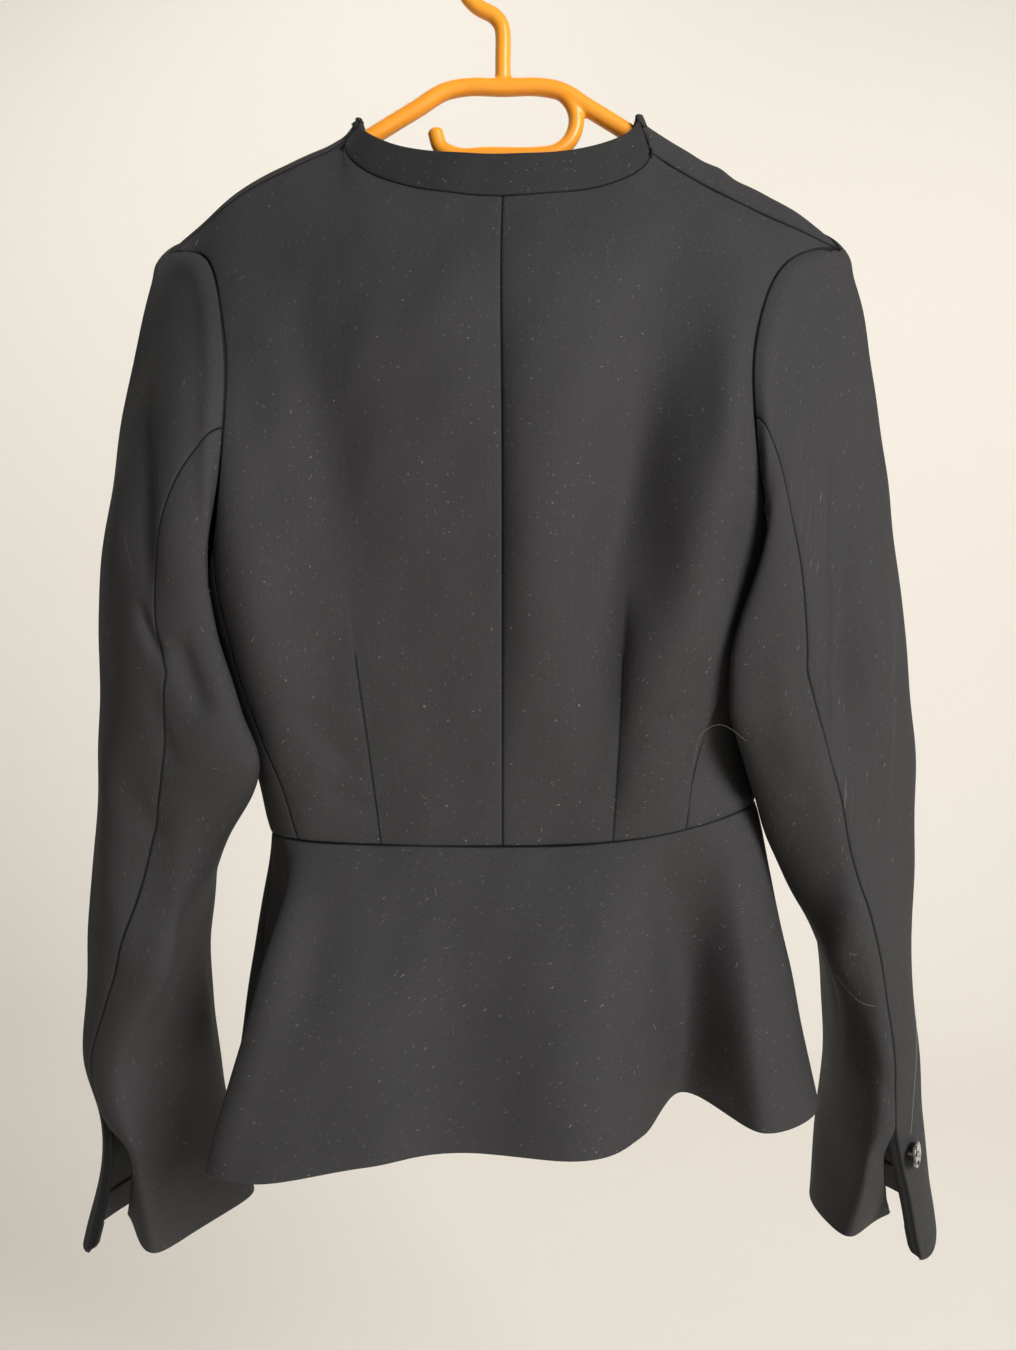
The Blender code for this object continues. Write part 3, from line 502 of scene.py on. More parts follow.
def band_point(u, v):
    """The back neck band, from the left shoulder seam round the back to the right one."""
    side = LEFT if u < 0.5 else RIGHT
    share = abs(2 * u - 1)
    top = quarter(np.array(BAND_TOP_BACK), np.array(BAND_TOP_SIDE[side]), share)
    return between(neck_seam(side, share), top, v)


def peplum(turn, drop):
    """The peplum, from the waist seam at drop 0 to the hem at drop 1. Left turns are negative."""
    side = LEFT if turn < 0 else RIGHT
    waist = bodice(side, abs(turn), 0.0)
    waist[0] += side * FRONT_GAP * ramp((abs(turn) - 2) / FRONT_GAP_TURNS + 1)
    return between(waist, row_at(HEM, turn), drop**PEPLUM_EASE)


def peplum_point(first, last, u, v):
    return peplum(first + (last - first) * u, 1 - v)


def sleeve_row(side, z):
    return row_at([(-line[0], *line[1:]) for line in SLEEVE[side]], -z)


def sleeve_section(side, turn, z):
    places = sleeve_row(side, z)[:-1].reshape(len(SLEEVE_TURNS), 2)
    return np.array([*smooth_ring(SLEEVE_TURNS, places, turn), z])


def back_seam(side, z):
    return float(sleeve_row(side, z)[-1])


def sleeve_cap(side, loop, turn, share):
    """From a place on the armhole, at share 0, over the sleeve's head to a turn of its first ring."""
    start = armhole(side, loop % 4)
    top = SLEEVE[side][0][0]
    end = sleeve_section(side, turn, top)
    slope = (end - sleeve_section(side, turn, top - CAP_SLOPE_STEP)) / CAP_SLOPE_STEP
    cap = np.array(CAP)
    out, front, up, reach = smooth_ring(cap[:, 0], cap[:, 1:], loop)
    first = start + np.array([side * out, front, up]) / math.hypot(out, front, up) * reach
    last = end + slope * CAP_FALL * (start[2] - end[2])
    return curve(start, first, last, end, share)


def sleeve_height(side, v):
    top, bottom = SLEEVE[side][0][0], SLEEVE[side][-1][0]
    return top + (bottom - top) * v


def vent(side, piece, turn, z):
    """How far a cuff vent's edges stand apart."""
    bottom = SLEEVE[side][-1][0]
    drop = max(0.0, (VENT_TOP_Z - z) / (VENT_TOP_Z - bottom))
    off = (turn - back_seam(side, z)) / VENT_SPREAD
    if piece == "upper":
        return np.array(VENT_FLAP[side]) * drop**VENT_FLAP_CURVE * math.exp(-off * off)
    move = between(VENT_STEP[side], VENT_TUCK[side], drop**VENT_TUCK_CURVE)
    return move * ramp(drop / VENT_STEP_SHARE) * math.exp(-off * off)


def sleeve_columns(piece):
    if piece == "upper":
        return ARMHOLE_STEPS + BACK_SEAM_STEPS
    return ARMHOLE_STEPS - BACK_SEAM_STEPS + UNDERARM_STEPS


def armhole_loop(piece, u):
    """The place on the armhole where a sleeve column starts, at a step of the bodice's panels."""
    step, column = SEAM_TURN / ARMHOLE_STEPS, u * sleeve_columns(piece)
    if piece == "upper":
        return step * (column - ARMHOLE_STEPS)
    under = column - (ARMHOLE_STEPS - BACK_SEAM_STEPS)
    return SEAM_TURN + under * (step if under < 0 else (4 - 2 * SEAM_TURN) / UNDERARM_STEPS)


def sleeve_point(side, piece, u, v):
    """A sleeve piece from armhole, v 0, to cuff, v 1. An upper piece's u runs from front to back."""
    row = v * SLEEVE_ROWS
    z = sleeve_height(side, max(0.0, (row - CAP_ROWS) / (SLEEVE_ROWS - CAP_ROWS)))
    seam = back_seam(side, z)
    start, end = (SLEEVE_FRONT_SEAM - 4, seam) if piece == "upper" else (seam, SLEEVE_FRONT_SEAM)
    turn = start + (end - start) * u
    if row <= CAP_ROWS:
        return sleeve_cap(side, armhole_loop(piece, u), turn, (max(row, 0.0) / CAP_ROWS) ** CAP_EASE)
    return sleeve_section(side, turn, z) + vent(side, piece, turn, z)


def outward(point, u, v, facing):
    """The form's outward direction at a place, from the form on both sides of a seam."""
    low, high = max(0.0, v - NEAR), min(1.0, v + NEAR)
    return unit(np.cross(point(u + NEAR, v) - point(u - NEAR, v), point(u, high) - point(u, low)) * facing)


# Fine shells of cloth: columns and rows of each kind of piece
FINE = {
    "back": (130, 160), "side": (44, 60), "front": (80, 140), "neck_band": (150, 14),
    "peplum_back": (230, 70), "peplum_front": (90, 60), "upper_sleeve": (84, 200),
    "under_sleeve": (56, 200),
}
ALL_EDGES = ("u0", "u1", "v0", "v1")
SHELL = 0.0013
EDGE_STEPS = (0.0, 0.0003, 0.0007, 0.0013, 0.0022, 0.0034)
SEAM_DEPTH = 0.0006
SEAM_WIDTH = 0.0008
SEAM_SINK = 0.0003
SEAM_SINK_WIDTH = 0.005
# Seam allowance: how far it runs on past the seam, and how deep inside
ALLOWANCE = ((0.0003, 0.0008), (0.0016, 0.0016), (0.0045, 0.0024))
ALLOWANCE_FADE = 0.006
ALLOWANCE_LEAST = 0.12
# A corner is where an edge bends this much, in radians, within this reach
CORNER_BEND = 0.9
CORNER_REACH = 0.006
HEAD_ROLL = 0.0016
HEAD_ROLL_FROM_SEAM = 0.009
HEAD_ROLL_WIDTH = 0.007
HEM_RADIUS = 0.0010
HEM_FOLD = np.radians((40, 80, 120, 160, 180))
HEM_TURN = 0.018
# How far a seam's line of painted shade stops short of a turned edge
HEM_CLEAR = 0.0018

# How quickly a crease rises from its ends, and how quickly it fades on cloth that turns away
CREASE_ENDS = 3
CREASE_SHOWS = 1.6
# Creases: which side they show on, ends as x and z, bow, width, depth inwards
# Columns: faces, x_top, z_top, x_bottom, z_bottom, bow, width, depth
BACK_CREASES = (
    (-1, 0.129, -0.235, 0.122, -0.350, 0.004, 0.010, -0.0022),
    (-1, -0.150, -0.225, -0.128, -0.330, 0.003, 0.014, 0.0018),
    (-1, -0.035, -0.215, -0.030, -0.330, 0.002, 0.020, -0.0015),
    (-1, 0.052, -0.240, 0.040, -0.400, -0.003, 0.020, -0.0014),
    (-1, 0.100, -0.455, 0.060, -0.490, 0.002, 0.008, 0.0014),
    (-1, -0.118, -0.455, -0.080, -0.505, -0.003, 0.009, 0.0012),
    (-1, -0.105, -0.500, -0.060, -0.522, 0.001, 0.006, 0.0008),
    (-1, 0.095, -0.500, 0.040, -0.520, 0.002, 0.007, 0.0008),
)
FRONT_CREASES = (
    (1, -0.100, -0.230, -0.078, -0.440, 0.006, 0.020, 0.0050),
    (1, 0.110, -0.240, 0.082, -0.410, -0.005, 0.018, 0.0046),
    (1, -0.150, -0.300, -0.120, -0.420, 0.003, 0.012, 0.0026),
    (1, 0.150, -0.320, 0.126, -0.450, -0.003, 0.011, 0.0024),
    (1, 0.060, -0.480, 0.120, -0.520, 0.002, 0.008, 0.0014),
    (1, -0.055, -0.470, -0.112, -0.515, -0.002, 0.008, 0.0014),
)
SLEEVE_CREASES = {
    LEFT: (
        (-1, -0.2040, -0.270, -0.1910, -0.412, -0.004, 0.0060, 0.0034),
        (-1, -0.1780, -0.235, -0.1740, -0.425, 0.000, 0.0160, -0.0070),
        (-1, -0.2120, -0.430, -0.2220, -0.660, 0.000, 0.0180, -0.0110),
        (-1, -0.1880, -0.570, -0.1800, -0.700, 0.000, 0.0160, -0.0100),
        (-1, -0.1990, -0.398, -0.1815, -0.437, 0.002, 0.0032, 0.0030),
        (-1, -0.1760, -0.415, -0.1560, -0.470, 0.003, 0.0065, 0.0040),
        (-1, -0.2150, -0.300, -0.2080, -0.400, 0.002, 0.0080, -0.0018),
        (-1, -0.1930, -0.440, -0.1750, -0.500, 0.002, 0.0060, 0.0018),
        (-1, -0.2100, -0.490, -0.1850, -0.540, 0.003, 0.0070, 0.0016),
        (-1, -0.2250, -0.560, -0.2080, -0.640, 0.003, 0.0080, 0.0014),
        (1, -0.2200, -0.380, -0.1900, -0.430, 0.003, 0.0060, 0.0034),
        (1, -0.2250, -0.440, -0.1900, -0.470, -0.003, 0.0060, 0.0030),
        (1, -0.2280, -0.500, -0.1950, -0.560, 0.004, 0.0080, 0.0024),
    ),
    RIGHT: (
        (-1, 0.1900, -0.280, 0.1870, -0.520, -0.003, 0.0100, 0.0110),
        (-1, 0.2130, -0.360, 0.2120, -0.530, 0.000, 0.0110, -0.0050),
        (-1, 0.1950, -0.545, 0.1970, -0.700, 0.000, 0.0120, -0.0090),
        (-1, 0.2120, -0.385, 0.2190, -0.560, 0.003, 0.0070, -0.0026),
        (-1, 0.1480, -0.420, 0.1640, -0.505, 0.003, 0.0080, -0.0016),
        (-1, 0.2260, -0.525, 0.2000, -0.570, 0.002, 0.0060, 0.0020),
        (-1, 0.2230, -0.440, 0.1990, -0.480, 0.003, 0.0060, 0.0016),
        (-1, 0.2000, -0.640, 0.2260, -0.690, 0.002, 0.0060, 0.0016),
        (1, 0.2230, -0.370, 0.1900, -0.420, 0.003, 0.0060, 0.0034),
        (1, 0.2280, -0.445, 0.1900, -0.478, -0.003, 0.0060, 0.0030),
        (1, 0.2300, -0.510, 0.1980, -0.570, 0.004, 0.0080, 0.0024),
    ),
}
PEPLUM_CREASES = (
    (-1, -0.112, -0.540, -0.156, -0.740, 0.000, 0.016, -0.0065),
    (-1, -0.090, -0.545, -0.110, -0.640, 0.003, 0.012, 0.0016),
    (-1, -0.030, -0.545, -0.020, -0.660, 0.003, 0.016, 0.0014),
    (-1, 0.055, -0.545, 0.048, -0.640, -0.003, 0.013, -0.0014),
    (-1, 0.090, -0.535, 0.098, -0.620, 0.002, 0.009, 0.0024),
    (1, -0.070, -0.545, -0.085, -0.660, 0.003, 0.012, 0.0020),
    (1, 0.080, -0.545, 0.092, -0.660, -0.003, 0.012, 0.0020),
)
# Darts: top and bottom as x and z
DARTS = {LEFT: (-0.0805, -0.4275, -0.0675, -0.535), RIGHT: (0.0675, -0.4275, 0.0615, -0.531)}
FAR_FROM_SEAM = 0.05
# Rises of the cloth beside the darts and the centre back seam: height, width
DART_RISE = {LEFT: (0.0006, 0.010), RIGHT: (0.0050, 0.015)}
MIDDLE_RISE = {LEFT: (0.0, 0.010), RIGHT: (0.0085, 0.025)}
# Where they start and end, in dart lengths or shares of the seam, and how quickly they rise there
DART_RISE_START = (-0.4, 2.5)
DART_RISE_END = (1.15, 2.0)
MIDDLE_RISE_ENDS = 2.2
# Small ripples where the cloth bends over the right arm of the hanger: x, y, z, radius, height
SHOULDER_RIPPLES = (
    (0.119, 0.000, -0.1325, 0.006, -0.0006),
    (0.1305, 0.000, -0.1370, 0.006, 0.0011),
    (0.142, 0.000, -0.1440, 0.006, -0.0004),
)
RIPPLE_LENGTH = 3
# Slow unevenness of hung cloth: wave counts a metre along x, y and z, and height
UNEVEN = (
    (9.0, 5.0, 4.0, 0.00045), (-6.0, 7.0, 11.0, 0.00035), (21.0, -8.0, 5.0, 0.00025),
    (14.0, 11.0, -17.0, 0.00020), (-31.0, 9.0, 12.0, 0.00012),
)


def weights(places, count):
    """A table that reads count + 1 even samples smoothly at places between 0 and 1."""
    spots = np.clip(np.asarray(places), 0, 1) * count
    first = np.minimum(spots.astype(int), count - 1)
    s = spots - first
    cubic = (
        -0.5 * s + s**2 - 0.5 * s**3,
        1 - 2.5 * s**2 + 1.5 * s**3,
        0.5 * s + 2 * s**2 - 1.5 * s**3,
        -0.5 * s**2 + 0.5 * s**3,
    )
    table = np.zeros((len(spots), count + 3))
    for k, share in enumerate(cubic):
        table[np.arange(len(spots)), first + k] += share
    for end, near, next_one in ((0, 1, 2), (-1, -2, -3)):
        table[:, near] += 2 * table[:, end]
        table[:, next_one] -= table[:, end]
    return table[:, 1:-1]


def fine_steps(count, length):
    """Places along a side of a panel, closer together beside its ends."""
    near = np.array(EDGE_STEPS) / length
    return np.concatenate([near[:-1], np.linspace(near[-1], 1 - near[-1], count), 1 - near[-2::-1]])


def outwards(grid, facing):
    return unit(np.cross(np.gradient(grid, axis=1), np.gradient(grid, axis=0)) * facing)


def run(grid, axis):
    """How far each point lies along its row or column, in metres."""
    lengths = np.linalg.norm(np.diff(grid, axis=axis), axis=-1)
    start = np.zeros_like(np.take(lengths, [0], axis=axis))
    return np.cumsum(np.concatenate([start, lengths], axis=axis), axis=axis)


def edge_distance(grid, edge):
    along = run(grid, 1 if edge[0] == "u" else 0)
    if edge[1] == "0":
        return along
    return (along[:, -1:] if edge[0] == "u" else along[-1:]) - along


def edge_share(grid):
    """How far each row lies from the nearer end of its column, as a share of the column."""
    along = run(grid, 0) / run(grid, 0)[-1:]
    return np.minimum(along, 1 - along)


def crease_push(grid, normals, creases):
    """How far the listed creases push each point outwards."""
    push = np.zeros(grid.shape[:2])
    for faces, x_top, z_top, x_bottom, z_bottom, bow, width, depth in creases:
        run_x, run_z = x_bottom - x_top, z_bottom - z_top
        length = math.hypot(run_x, run_z)
        off_x, off_z = grid[..., 0] - x_top, grid[..., 2] - z_top
        along = (off_x * run_x + off_z * run_z) / length**2
        off = (off_x * run_z - off_z * run_x) / length - bow * np.sin(np.pi * np.clip(along, 0, 1))
        ends = ramp(CREASE_ENDS * along) * ramp(CREASE_ENDS - CREASE_ENDS * along)
        shows = ramp(CREASE_SHOWS * faces * normals[..., 1])
        push -= depth * ends * shows * np.exp(-((off / width) ** 2))
    return push


def dart_offset(grid, side):
    """How far each point lies from the dart, outer side positive, and how far down the dart it lies."""
    x_top, z_top, x_bottom, z_bottom = DARTS[side]
    along = (grid[..., 2] - z_top) / (z_bottom - z_top)
    return (grid[..., 0] - x_top - (x_bottom - x_top) * along) * side, along


def valley(off, height, width):
    """The rise of cloth beside a sewn line: steepest at the line, highest a width away."""
    off = np.maximum(off, 0.0) / width
    return height * off * np.exp(1 - off)


def back_push(grid, side):
    """The cloth rises beside the dart and, on the right, beside the centre back seam."""
    off, along = dart_offset(grid, side)
    height, width = DART_RISE[side]
    (start, start_rise), (end, end_rise) = DART_RISE_START, DART_RISE_END
    beside_dart = valley(off, height, width) * ramp(start_rise * (along - start))
    beside_dart *= ramp(end_rise * (end - along))
    beside_middle = valley(edge_distance(grid, "u0"), *MIDDLE_RISE[side])
    return beside_dart + beside_middle * ramp(MIDDLE_RISE_ENDS * edge_share(grid))


def ripple_push(grid):
    push = np.zeros(grid.shape[:2])
    for x, y, z, radius, height in SHOULDER_RIPPLES:
        reach = (radius, RIPPLE_LENGTH * radius, RIPPLE_LENGTH * radius)
        push += height * np.exp(-(((grid - (x, y, z)) / reach) ** 2).sum(-1))
    return push


def uneven_push(grid):
    push = np.zeros(grid.shape[:2])
    for number, (x, y, z, height) in enumerate(UNEVEN):
        push += height * np.sin(2 * np.pi * (grid @ np.array([x, y, z])) + number)
    return push


def hem_rows(rows, normals):
    """Rows that carry the last one round a fold and back up inside the cloth."""
    edge, normal = rows[-1], normals[-1]
    away = unit(edge - rows[-2])
    fold = [
        edge - normal * HEM_RADIUS * (1 - math.cos(a)) + away * HEM_RADIUS * math.sin(a)
        for a in HEM_FOLD
    ]
    depth = np.linalg.norm(edge - rows, axis=-1).mean(-1)
    inside = [k for k in range(2, len(rows)) if depth[-k] < HEM_TURN]
    return fold + [rows[-k] - normals[-k] * (2 * HEM_RADIUS) for k in inside]


def allowance_rows(rows, normals):
    """Rows that carry the last one on under the neighbouring piece, less and less towards its corners."""
    edge = rows[-1]
    along = run(edge, 0)
    ways = unit(np.gradient(edge, along, axis=0))
    ahead, behind = (
        unit(np.array([np.interp(along + reach, along, way) for way in ways.T]).T)
        for reach in (CORNER_REACH, -CORNER_REACH)
    )
    bends = np.arccos(np.clip((ahead * behind).sum(-1), -1, 1))
    corners = np.concatenate([[0.0, along[-1]], along[bends > CORNER_BEND]])
    near = np.abs(along[:, None] - corners[None, :]).min(-1)
    keep = ALLOWANCE_LEAST + (1 - ALLOWANCE_LEAST) * ramp(near / ALLOWANCE_FADE)[:, None]
    away = unit(edge - rows[-2])
    return [edge + keep * (away * past - normals[-1] * deep) for past, deep in ALLOWANCE]


def carried_on(grid, sewn, facing, edge, more_rows):
    """A grid and its sewing values with rows added past one edge."""
    axis = 1 if edge[0] == "u" else 0
    order = -1 if edge[1] == "0" else 1
    rows, normals, sewn = (np.swapaxes(a, 0, axis)[::order] for a in (grid, outwards(grid, facing), sewn))
    added = np.array(more_rows(rows, normals))
    rows = np.concatenate([rows, added])
    sewn = np.concatenate([sewn, np.repeat(sewn[-1:], len(added), axis=0)])
    return (np.swapaxes(a[::order], 0, axis) for a in (rows, sewn))


def shell_mesh(name, grid, facing, sewn):
    """A mesh of quads on a grid, with its cloth's own measure as UV and its distances from sewn lines."""
    rows, columns = grid.shape[:2]
    index = np.arange(rows * columns).reshape(rows, columns)
    corners = (index[:-1, :-1], index[:-1, 1:], index[1:, 1:], index[1:, :-1])
    faces = np.stack(corners if facing > 0 else corners[::-1], axis=-1).reshape(-1, 4)
    mesh = bpy.data.meshes.new(name)
    mesh.from_pydata(grid.reshape(-1, 3).tolist(), [], faces.tolist())
    measure = np.stack([run(grid, 1), run(grid, 0)], axis=-1).reshape(-1, 2)
    uv = mesh.uv_layers.new(name="cloth")
    uv.data.foreach_set("uv", measure[faces.reshape(-1)].astype(np.float32).reshape(-1))
    values = mesh.attributes.new("sewn", "FLOAT_VECTOR", "POINT")
    values.data.foreach_set("vector", sewn.astype(np.float32).reshape(-1))
    mesh.shade_smooth()
    return mesh


def placed(name, data):
    """A new object with this data, in the scene."""
    obj = bpy.data.objects.new(name, data)
    bpy.context.scene.collection.objects.link(obj)
    return obj


def placed_mesh(name, bm):
    """A new object with a finished bmesh, which is freed."""
    mesh = bpy.data.meshes.new(name)
    bm.to_mesh(mesh)
    bm.free()
    return placed(name, mesh)


# The outer points and normals of each cloth node, for strewing lint
SURFACES = {}


def cloth(
    node, kind, point, coarse, facing, seams,
    hems=(), creases=(), extra=None, head=None, dart=None, material=None, bare=(),
):
    """A thin shell on the form point(u, v), with seams, creases and turned edges, in place of a node."""
    columns, rows = coarse
    form = np.array([[point(c / columns, r / rows) for c in range(columns + 1)] for r in range(rows + 1)])
    width, length = run(form, 1)[:, -1].mean(), run(form, 0)[-1].mean()
    fine_columns, fine_rows = FINE[kind]
    reader_v = weights(fine_steps(fine_rows, length), rows)
    reader_u = weights(fine_steps(fine_columns, width), columns)
    grid = np.einsum("ij,jkc,lk->ilc", reader_v, form, reader_u)
    normals = outwards(grid, facing)
    push = crease_push(grid, normals, creases) + uneven_push(grid)
    if extra:
        push += extra(grid)
    sewn = np.full(grid.shape, FAR_FROM_SEAM)
    if dart:
        off, along = dart_offset(grid, dart)
        sewn[..., 1] = off
        sewn[..., 2] = along
    for edge in seams:
        distance = edge_distance(grid, edge)
        sewn[..., 0] = np.minimum(sewn[..., 0], distance)
        push -= SEAM_DEPTH * np.exp(-((distance / SEAM_WIDTH) ** 2))
        push -= SEAM_SINK * np.exp(-((distance / SEAM_SINK_WIDTH) ** 2))
        if edge == head:
            push += HEAD_ROLL * np.exp(-(((distance - HEAD_ROLL_FROM_SEAM) / HEAD_ROLL_WIDTH) ** 2))
    for edge in hems:
        sewn[..., 0] = np.maximum(sewn[..., 0], HEM_CLEAR - edge_distance(grid, edge))
    grid = grid + normals * push[..., None]
    SURFACES[node] = (grid, outwards(grid, facing))
    sewn_under = [edge for edge in seams if edge not in bare]
    for edges, more_rows in ((sewn_under, allowance_rows), (hems, hem_rows)):
        for edge in edges:
            grid, sewn = carried_on(grid, sewn, facing, edge, more_rows)
    obj = placed(f"{node}_cloth", shell_mesh(f"{node}_cloth", grid, facing, sewn))
    wall = obj.modifiers.new("Cloth", "SOLIDIFY")
    wall.thickness = SHELL
    wall.offset = -1.0
    dressed(obj, material or WOOL, "black_wool", node)


def dressed(obj, material, slot, *nodes):
    obj.data.materials.clear()
    obj.data.materials.append(material)
    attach(obj, "root")
    if nodes:
        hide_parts(*nodes)


class Look:
    """A material in the making: each method adds a node and gives its output."""

    def __init__(self, name):
        self.material = bpy.data.materials.new(name)
        self.material.use_nodes = True
        self.tree = self.material.node_tree
        self.shader = self.tree.nodes["Principled BSDF"]

    def put(self, node, inputs):
        for key, value in inputs.items():
            if isinstance(value, bpy.types.NodeSocket):
                self.tree.links.new(value, node.inputs[key])
            else:
                node.inputs[key].default_value = value

    def outputs(self, kind, inputs, **settings):
        node = self.tree.nodes.new(kind)
        for key, value in settings.items():
            setattr(node, key, value)
        self.put(node, inputs)
        return node.outputs

    def set(self, **inputs):
        self.put(self.shader, {key.replace("_", " "): value for key, value in inputs.items()})
        return self.material

    def place(self):
        return self.outputs("ShaderNodeTexCoord", {})["Object"]

    def noise(self, place, scale, detail=2.0, **settings):
        inputs = {"Vector": place, "Scale": scale, "Detail": detail}
        return self.outputs("ShaderNodeTexNoise", inputs, **settings)

    def maths(self, operation, *values):
        return self.outputs("ShaderNodeMath", dict(enumerate(values)), operation=operation)[0]

    def total(self, *terms):
        """The sum of values, each with its weight."""
        last = 0.0
        for value, weight in terms:
            last = self.maths("MULTIPLY_ADD", value, weight, last)
        return last

    def mix(self, share, first, second):
        return self.outputs("ShaderNodeMix", {0: share, 6: first, 7: second}, data_type="RGBA")[2]

    def fade(self, value, full, none):
        """1 up to the first limit, falling to 0 at the second."""
        inputs = {"Value": value, "From Min": none, "From Max": full}
        return self.outputs("ShaderNodeMapRange", inputs, interpolation_type="SMOOTHSTEP")[0]

    def bump(self, height, strength, distance):
        inputs = {"Height": height, "Strength": strength, "Distance": distance}
        return self.outputs("ShaderNodeBump", inputs)[0]


# Wool: colours are linear, lengths are metres of cloth, counts are a metre
WOOL_DARK = (0.0200, 0.0196, 0.0205)
WOOL_LIGHT = (0.0400, 0.0388, 0.0395)
# Painted shade for the grooves of seams and darts
WOOL_SEAM_PAINTED_SHADE = (0.0040, 0.0040, 0.0045, 1.0)
WOOL_ROUGHNESS = 0.82
WOOL_GLOSS = 0.35
LINT = (0.30, 0.29, 0.28, 1.0)
LINT_BEND = (0.002, 0.002, 0.0)
THREADS = 900.0
FUZZ = 900.0
PATCHES = 14.0
STREAKS = (1100.0, 70.0, 1.0)
# Shares of streaks, fuzz and patches in the colour, and of threads, fuzz and streaks in the relief
COLOUR_SHARES = (0.45, 0.30, 0.25)
RELIEF_SHARES = (0.6, 0.5, 0.3)
RELIEF_STRENGTH = 0.5
RELIEF_DEPTH = 0.0003
# The band is cut across the grain, which shows darker, and its colour is darkened further as painted shade
BAND_STREAKS = (70.0, 1100.0, 1.0)
BAND_GRAIN_AND_PAINTED_SHADE = 0.62
# Half the width of the painted shade along a sewn line, at its darkest and at its ends, and a dart line's
# soft point in dart lengths
SEAM_PAINTED_SHADE_LINE = (0.0003, 0.0009)
DART_POINT = 0.06
# Lint in the weave: cells a metre, size in a cell, rarity, strength, and the share of the size that is full
SPECKS = ((210.0, 0.120, 2.5, 0.22), (80.0, 0.055, 3.0, 0.42))
SPECK_CORE = 0.3


def wool(name, shade, streak_counts):
    """Black wool suiting: fine weave, pale and dark streaks along the grain, soft nap, a little lint, and
    painted shade along seams and darts.
    """
    look = Look(name)
    # shade scales both colours; the band's value below 1 is partly its cross grain and partly painted shade
    dark, light = ((*(shade * c for c in colour), 1.0) for colour in (WOOL_DARK, WOOL_LIGHT))
    uv = look.outputs("ShaderNodeUVMap", {}, uv_map="cloth")[0]
    long = look.outputs("ShaderNodeMapping", {"Vector": uv, "Scale": streak_counts})[0]
    streaks = look.noise(long, scale=1.0, detail=3.0, noise_dimensions="2D")[0]
    fuzz = look.noise(uv, FUZZ, detail=4.0, noise_dimensions="2D")
    patches = look.noise(uv, PATCHES, detail=2.0, noise_dimensions="2D")[0]
    colour = look.mix(look.total(*zip((streaks, fuzz[0], patches), COLOUR_SHARES)), dark, light)

    bend = {0: fuzz[1], 1: LINT_BEND, 2: uv}
    bent = look.outputs("ShaderNodeVectorMath", bend, operation="MULTIPLY_ADD")[0]
    for cells, size, rarity, strength in SPECKS:
        inputs = {"Vector": bent, "Scale": cells}
        spots = look.outputs("ShaderNodeTexVoronoi", inputs, voronoi_dimensions="2D")
        some = look.outputs("ShaderNodeSeparateColor", {0: spots["Color"]})[0]
        rare = look.maths("POWER", some, rarity)
        speck = look.maths("MULTIPLY", look.fade(spots["Distance"], size * SPECK_CORE, size), rare)
        colour = look.mix(look.maths("MULTIPLY", speck, strength), colour, LINT)

    # Painted shade: seams and darts are darkened along their lines, where their grooves lie in shade
    sewn = look.outputs("ShaderNodeAttribute", {}, attribute_name="sewn")["Vector"]
    edge, dart, along = look.outputs("ShaderNodeSeparateXYZ", {0: sewn})
    dart_painted_shade = look.fade(look.maths("ABSOLUTE", dart), *SEAM_PAINTED_SHADE_LINE)
    dart_painted_shade = look.maths("MULTIPLY", dart_painted_shade, look.fade(along, full=DART_POINT, none=0.0))
    line = look.maths("MAXIMUM", look.fade(edge, *SEAM_PAINTED_SHADE_LINE), dart_painted_shade)
    colour = look.mix(line, colour, WOOL_SEAM_PAINTED_SHADE)

    # At a scale of 1 the bands of a wave texture repeat after pi / 10
    waves = {"Vector": uv, "Scale": THREADS * math.pi / 10, "Distortion": 1.2, "Detail": 1.0}
    warp, weft = (look.outputs("ShaderNodeTexWave", waves, bands_direction=way)[1] for way in ("X", "Y"))
    threads = look.maths("MULTIPLY", warp, weft)
    height = look.total(*zip((threads, fuzz[0], streaks), RELIEF_SHARES))
    return look.set(
        Base_Color=colour, Roughness=WOOL_ROUGHNESS, Specular_IOR_Level=WOOL_GLOSS,
        Normal=look.bump(height, RELIEF_STRENGTH, RELIEF_DEPTH),
    )


PLASTIC_DARK = (0.86, 0.300, 0.018, 1.0)
PLASTIC_LIGHT = (0.98, 0.390, 0.034, 1.0)
PARTING_LINE = (0.0001, 0.0005)


def plastic():
    """Orange moulded plastic: satin, slightly uneven, scuffed, with a fine parting line."""
    look = Look("orange_moulded_plastic")
    place = look.place()
    colour = look.mix(look.noise(place, scale=22.0, detail=3.0)[0], PLASTIC_DARK, PLASTIC_LIGHT)
    scuffs = look.noise(place, scale=240.0, detail=4.0)[0]
    depth = look.maths("ABSOLUTE", look.outputs("ShaderNodeSeparateXYZ", {0: place})["Y"])
    height = look.total((scuffs, 0.12), (look.fade(depth, *PARTING_LINE), 1.0))
    return look.set(
        Base_Color=colour, Roughness=look.total((scuffs, 0.25), (1.0, 0.22)), Subsurface_Weight=0.12,
        Subsurface_Radius=(0.004, 0.002, 0.0008), Normal=look.bump(height, strength=0.35, distance=0.0002),
    )


SMOKE_LIGHT = (0.40, 0.38, 0.36, 1.0)
SMOKE_DARK = (0.03, 0.028, 0.028, 1.0)
# Darkest and lightest of a faint grain, as shares of the colour
GRAIN = (0.85, 1.15)


def smoky_button():
    """Polished grey button with clouds of paler and darker smoke."""
    look = Look("smoky_grey_button")
    smoke = look.noise(look.place(), scale=210.0, detail=3.0)[0]
    colour = look.mix(look.fade(smoke, full=0.40, none=0.60), SMOKE_LIGHT, SMOKE_DARK)
    return look.set(Base_Color=colour, Roughness=0.16, Coat_Weight=0.4)


